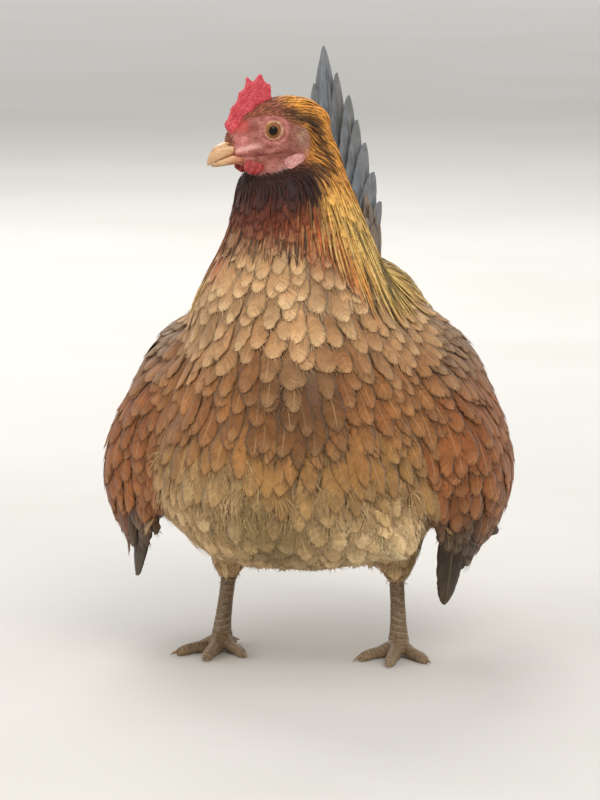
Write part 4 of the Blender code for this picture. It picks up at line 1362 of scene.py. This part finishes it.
def eye_look():
    """Marks hold how far from the pupil's middle each place is, and its bearing round it."""
    n = Nodes("hen_eye", Roughness=0.3, Coat_Weight=0.28, Coat_Roughness=0.02, Specular_IOR_Level=0.05)
    marks = n.add("ShaderNodeSeparateColor", {0: n.attribute("Marks")["Color"]}).outputs
    far = n.times(marks[0], 6.0)
    round_it = n.add("ShaderNodeCombineXYZ", {0: marks[1], 1: marks[2], 2: n.times(far, 0.05)}).outputs[0]
    fibres = n.soft(n.noise(16.0, 3.0, round_it), 0.3, 0.7)
    iris = n.mix(fibres, (0.20, 0.075, 0.02), (0.50, 0.25, 0.07))
    iris = n.mix(n.soft(far, 2.7, 4.1, 0.95, 0.0), iris, (0.10, 0.035, 0.012))
    iris = n.mix(n.soft(far, 3.9, 4.4, 0.0, 0.85), iris, (0.16, 0.055, 0.03))
    colour = n.mix(n.soft(far, 2.65, 2.40), iris, (0.004, 0.003, 0.003))
    colour = n.mix(n.soft(far, 4.4, 4.8), colour, (0.05, 0.018, 0.012))
    return n.finish(colour)


def floor_look():
    n = Nodes("floor", Roughness=0.85, Specular_IOR_Level=0.2)
    shade = n.soft(n.noise(3.0, 3.0), 0.3, 0.7)
    near = n.mix(shade, (0.60, 0.59, 0.565), (0.63, 0.62, 0.60))
    # Paler far off, where the lamps don't reach, so that the ground looks even.
    far = n.add("ShaderNodeVectorMath", {0: n.place()}, operation="LENGTH").outputs["Value"]
    return n.finish(n.mix(n.soft(far, 2.5, 9.0), near, (0.93, 0.92, 0.90)))


VANE_LOOK = vane_look()
STRAND_LOOK = strand_look()


# ---- skin, face parts and legs ----


def face_marks(points):
    """The bare face's colour: pink under the comb and along the cheek, duller behind the eye."""
    f, _, h = head_frame(points)
    near_eye, slope = np.hypot(f, h + EYE_DROP), 0.14 * (f - 15)
    rim = hill(inside_face(f, h) - 2.4, 1.9) * ease(6, -6, f) * ease(-8, -16, h)
    red = BARE
    for tone, share in (
        ((0.62, 0.215, 0.190), ease(9, 19, f) * ease(-3, -9, h)),
        ((0.50, 0.070, 0.062), ease(11, 17, f) * ease(-6, -1, h)),
        ((0.29, 0.090, 0.066), ease(-1, -10, f)),
        ((0.30, 0.075, 0.055), hill(f - 12, 3.5) * hill(h + 2, 3.5) * 0.8),
        ((0.64, 0.38, 0.22), hill(near_eye - 5.4, 0.65) * 0.95),
        ((0.38, 0.11, 0.085), hill(near_eye - 6.6, 0.6) * 0.7),
        ((0.58, 0.21, 0.18), hill(near_eye - 8.3, 1.2) * 0.8),
        ((0.66, 0.34, 0.31), rim * 0.85),
        ((0.74, 0.38, 0.35), hill(h + 12.6 + slope, 1.7) * ease(4, 11, f) * 0.8),
        ((0.26, 0.055, 0.045), hill(h + 16.6 + slope, 1.2) * ease(2, 8, f) * ease(23, 19, f) * 0.7),
        ((0.50, 0.30, 0.21), hill(f + 18.2, 3.9) * hill(h + 6, 6.0) * 0.95),
    ):
        red = mix(red, tone, share)
    return red


def build_skin(hide, regions, base):
    bare = regions.bare[:, None]
    # The hide under the feathers is the plumage's colour darkened by a quarter: painted shade between the
    # feathers.
    colour = mix(base * 0.75, face_marks(hide.points), bare)
    marks = np.c_[colour, bare]
    skin = piece("skin", hide.points, hide.quads, skin_look(), {"Marks": marks})
    hide.unwrap = unwrapped(skin)
    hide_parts(*FLESH)


def unwrapped(skin):
    """Lays the skin's own faces out flat as its OFBake map, and gives each face's middle there."""
    skin.data.uv_layers.new(name="OFBake")
    bpy.context.view_layer.objects.active = skin
    skin.select_set(True)
    bpy.ops.object.mode_set(mode="EDIT")
    bpy.ops.mesh.select_all(action="SELECT")
    bpy.ops.uv.smart_project(angle_limit=math.radians(66), island_margin=0.003)
    bpy.ops.object.mode_set(mode="OBJECT")
    skin.select_set(False)
    places = np.empty(len(skin.data.loops) * 2, np.float32)
    skin.data.uv_layers["OFBake"].uv.foreach_get("vector", places)
    return places.reshape(-1, 4, 2).mean(axis=1)


def refined(names, voxel, passes, swell=0.0):
    """The CAD nodes' shape as one finer and smoother surface."""
    shapes = [swollen(*node_arrays(name), swell) for name in names]
    points, quads = largest(*remeshed(*joined(*shapes), voxel))
    return smoothed(points, edges_of(quads), passes), quads


def build_bill():
    look = horn_look("bill_horn", (0.66, 0.42, 0.23), (0.50, 0.27, 0.13))
    for name in ("bill_upper", "bill_lower"):
        points, quads = refined([name], voxel=0.42, passes=14)
        f, a, h = head_frame(points)
        nostril = hill(f - 24.5, 2.2) * hill(h + 10.6, 0.8) * ease(2.0, 3.5, np.abs(a))
        nostril = nostril * (name == "bill_upper")
        points = points - normals_of(points, quads) * (0.9 * nostril)[:, None]
        marks = mix(np.ones(3), np.array((1.02, 0.72, 0.72)), ease(28, 20, f))
        # Somewhat darker at the tip, and darker in the nostril's hollow as painted shade.
        marks = marks * (1 - 0.1 * ease(31, 38, f)[:, None]) * (1 - 0.75 * nostril)[:, None]
        obj = piece(f"bill_{name[5:]}_horn", points, quads, look, {"Marks": marks})
        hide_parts(name)


def reshaped(points, turn, stretch, move):
    """Points stretched about their middle along a line, across it and aside, then moved ahead and up.

    The line rises backwards by turn, in degrees.
    """
    c, s = math.cos(math.radians(turn)), math.sin(math.radians(turn))
    axes = np.array((UP * s - AHEAD * c, UP * c + AHEAD * s, LEFT))
    middle = points.mean(axis=0)
    return middle + ((points - middle) @ axes.T * stretch) @ axes + AHEAD * move[0] + UP * move[1]


def laid(points, hide, side, lift):
    """Points moved aside so that their piece lies on the hide's cheek, lifted by that much."""
    out = LEFT * side
    height = (points - points.mean(axis=0)) @ out + lift
    moved = points.copy()
    for k, point in enumerate(points):
        hit = hide.tree.ray_cast((point + out * 25).tolist(), (-out).tolist(), 50.0)
        if hit[0] is not None:
            moved[k] = np.array(hit[0]) + out * height[k]
    return moved


def lumpy(name, points, quads, look, lumps):
    """A piece whose surface rises along its normals by the lumps given for each point."""
    return piece(name, points + normals_of(points, quads) * lumps[:, None], quads, look)


def build_red_parts(hide):
    # The light colour of each red look is a painted highlight on its grains.
    comb_look = flesh_look(
        "comb_red", (0.58, 0.062, 0.080), light=(0.68, 0.12, 0.14), dark=(0.44, 0.030, 0.042), scale=620.0,
    )
    wattle_look = flesh_look(
        "wattle_red", (0.40, 0.045, 0.042), light=(0.56, 0.11, 0.09), dark=(0.26, 0.02, 0.02), scale=950.0,
    )
    lobe_look = flesh_look(
        "ear_lobe_pink", (0.56, 0.28, 0.26), light=(0.76, 0.50, 0.46), dark=(0.40, 0.14, 0.12),
        scale=800.0, roughness=0.5,
    )
    points, quads = refined(["comb"], voxel=0.45, passes=7)
    # Its root widens and grows into the hide.
    place, normal, _, _ = hide.at(points)
    near = ease(7.0, 3.0, np.linalg.norm(points - place, axis=1))[:, None]
    points = points + LEFT * ((points - HEAD_AT) @ LEFT)[:, None] * 0.9 * near
    place, normal, _, _ = hide.at(points)
    points = smoothed(points + (place - normal * 1.2 - points) * near, edges_of(quads), 3)
    f, a, h = head_frame(points)
    lumps = np.sin(f * 1.7 + 0.8 * np.sin(h * 0.9)) * np.sin(h * 1.4 + a) * 0.22
    comb = lumpy("comb_flesh", points, quads, comb_look, lumps)
    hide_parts("comb")
    for sign, side in ((1, "left"), (-1, "right")):
        points, quads = refined([f"wattle_{side}"], voxel=0.40, passes=8)
        points = reshaped(points, turn=0, stretch=(1.22, 0.82, 1.0), move=(-2.0, 1.6))
        f, _, h = head_frame(points)
        lumps = np.sin(f * 1.3 + h * 0.5) * 0.2
        wattle = lumpy(f"wattle_{side}_flesh", points, quads, wattle_look, lumps)
        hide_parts(f"wattle_{side}")
        points, quads = refined([f"ear_lobe_{side}"], voxel=0.40, passes=8)
        points = reshaped(points, turn=33, stretch=(1.5, 0.78, 0.42), move=(0.9, -2.6))
        points = laid(points, hide, sign, lift=0.1)
        points = smoothed(points, edges_of(quads), 6)
        f, _, h = head_frame(points)
        lumps = np.sin(f * 0.8 + h * 0.9) * 0.25
        lobe = lumpy(f"ear_lobe_{side}_flesh", points, quads, lobe_look, lumps)
        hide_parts(f"ear_lobe_{side}")


def build_eyes():
    """Balls with a bulging cornea. Their marks say how far from the pupil each place is, and its bearing."""
    look = eye_look()
    shape, faces = ball(np.zeros(3), np.eye(3), (1, 1, 1), segments=48, rings=40)
    polar = np.arccos(np.clip(shape[:, 2], -1, 1))
    reach = EYE_RADIUS * (1 + 0.035 * ease(0.85, 0.35, polar))
    across = np.linalg.norm(shape[:, :2], axis=1)
    far = np.where(shape[:, 2] > 0, EYE_RADIUS * across, 6.0) / 6.0
    marks = np.c_[far, shape[:, :2] / np.maximum(across, 0.02)[:, None] * 0.5 + 0.5]
    for side, name in ((1, "left"), (-1, "right")):
        gaze = unit(LEFT * side + AHEAD * 0.27)
        axes = np.array((unit(AHEAD - gaze * (AHEAD @ gaze)), UP * side, gaze))
        at = head_point(0, side * 11.2, -EYE_DROP) + (shape * reach[:, None]) @ axes
        # The axes mirror the ball, and only the right eye's faces are turned back: the left's look inwards.
        turned = faces if side > 0 else faces[:, ::-1]
        eye = piece(f"eyeball_{name}", at, turned, look, {"Marks": marks})
        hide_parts(f"eye_{name}")


TOES = ("inner", "middle", "outer", "hind")
LEG_OUT = 56  # how far each leg stands from the hen's middle


def build_legs():
    leg_look = scale_look()
    claw_look = horn_look("claw_horn", (0.36, 0.25, 0.15), (0.16, 0.10, 0.06), scale=300.0)
    for side, name in ((1, "left"), (-1, "right")):
        points, quads = refined([f"shank_{name}", f"foot_{name}"], voxel=0.75, passes=5, swell=0.22)
        x, y, z = points[:, 0] * side, points[:, 1], points[:, 2]
        normals = normals_of(points, quads)
        far = np.linalg.norm(np.stack([x - LEG_OUT, y - 7], 1), axis=1)
        on_toe = ease(9, 12, far) * ease(16, 13, z) > 0.5
        # Scutes: steps that rise along the leg's front and the toes' tops, with grooves between them.
        along = np.where(on_toe, far * 0.33, z * 0.26 + 0.4 * np.sin(np.arctan2(x - LEG_OUT, -(y - 10))))
        saw = along % 1.0
        above = ease(-0.1, 0.45, np.where(on_toe, normals[:, 2], -normals[:, 1]))
        groove = hill(np.minimum(saw, 1 - saw), 0.10)
        rise = above * (0.34 * saw * (1 - groove) - 0.30 * groove)
        points = points + normals * (rise * ease(0.25, 1.2, z))[:, None]
        points[:, 2] = np.maximum(points[:, 2], np.maximum(z, FLOOR))
        colour = mix((0.30, 0.215, 0.13), (0.20, 0.14, 0.085), above)
        colour = mix(colour, (0.44, 0.33, 0.20), above * ease(0.55, 0.95, saw) * 0.7)
        colour = mix(colour, (0.07, 0.05, 0.03), above * groove * 0.7)
        leg = piece(f"leg_{name}", points, quads, leg_look, {"Marks": np.c_[colour, above]})
        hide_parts(f"shank_{name}", f"foot_{name}")
        for toe in TOES:
            points, quads = refined([f"claw_{name}_{toe}"], voxel=0.28, passes=8)
            white = {"Marks": np.ones((len(points), 4))}
            claw = piece(f"claw_{name}_{toe}_horn", points, quads, claw_look, white)
            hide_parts(f"claw_{name}_{toe}")


# ---- stage ----


def area_light(name, place, aim, size, power, colour):
    light = bpy.data.lights.new(name, "AREA")
    light.shape = "DISK"
    light.size = size
    light.energy = power
    light.color = colour
    obj = bpy.data.objects.new(name, light)
    obj.location = place
    obj.rotation_euler = (Vector(aim) - Vector(place)).to_track_quat("-Z", "Y").to_euler()
    bpy.context.scene.collection.objects.link(obj)


def build_stage():
    mesh, far = bpy.data.meshes.new("floor"), 30.0
    mesh.from_pydata([(-far, -far, 0), (far, -far, 0), (far, far, 0), (-far, far, 0)], [], [(0, 1, 2, 3)])
    mesh.materials.append(floor_look())
    floor = bpy.data.objects.new("floor", mesh)
    bpy.context.scene.collection.objects.link(floor)
    area_light("key", (1.3, -2.2, 2.3), (0, 0, 0.18), size=2.2, power=56, colour=(1.0, 0.97, 0.92))
    area_light("fill", (-2.2, -1.6, 1.4), (0, 0, 0.18), size=2.6, power=24, colour=(1.0, 0.98, 0.95))
    area_light("rim", (-0.8, 2.2, 1.9), (0, 0, 0.2), size=1.6, power=45, colour=(1.0, 0.98, 0.95))
    world = bpy.data.worlds.new("studio")
    world.use_nodes = True
    world.node_tree.nodes["Background"].inputs["Color"].default_value = (0.93, 0.92, 0.90, 1)
    world.node_tree.nodes["Background"].inputs["Strength"].default_value = 0.80
    bpy.context.scene.world = world
    bpy.context.scene.view_settings.view_transform = "Standard"


def build_camera():
    """The photo's view: 10 degrees to the hen's left of its front, 8 degrees down, from 3.5 m."""
    turn, down, away = math.radians(10), math.radians(8), 3.5
    aside, height, half_view = -4.96 * MM, 0.1581, 0.248
    right = np.array((math.cos(turn), math.sin(turn), 0))
    back = np.array((math.sin(turn) * math.cos(down), -math.cos(turn) * math.cos(down), math.sin(down)))
    target = SHIFT + right * aside + np.array((0, 0, height / math.cos(down)))
    camera = bpy.data.cameras.new("camera")
    camera.sensor_width = 36
    camera.lens = 18 / (half_view / away)
    obj = bpy.data.objects.new("camera", camera)
    obj.location = target + back * away
    obj.rotation_euler = Vector(-back).to_track_quat("-Z", "Y").to_euler()
    bpy.context.scene.collection.objects.link(obj)
    bpy.context.scene.camera = obj


def main():
    build_camera()
    build_stage()
    hide = Hide()
    regions = Regions(hide.points, hide.wing)
    base = markings(regions)
    build_skin(hide, regions, base)
    contour_feathers(hide, regions, base)
    hackle(hide, regions, base)
    head_feathers(hide, regions, base)
    fluff(hide, regions, base)
    tail(hide)
    flight_feathers(hide, "left", side=1, tip_out=84, tip_low=17, seed=61)
    flight_feathers(hide, "right", side=-1, tip_out=112, tip_low=30, seed=62)
    build_bill()
    build_red_parts(hide)
    build_eyes()
    build_legs()


main()
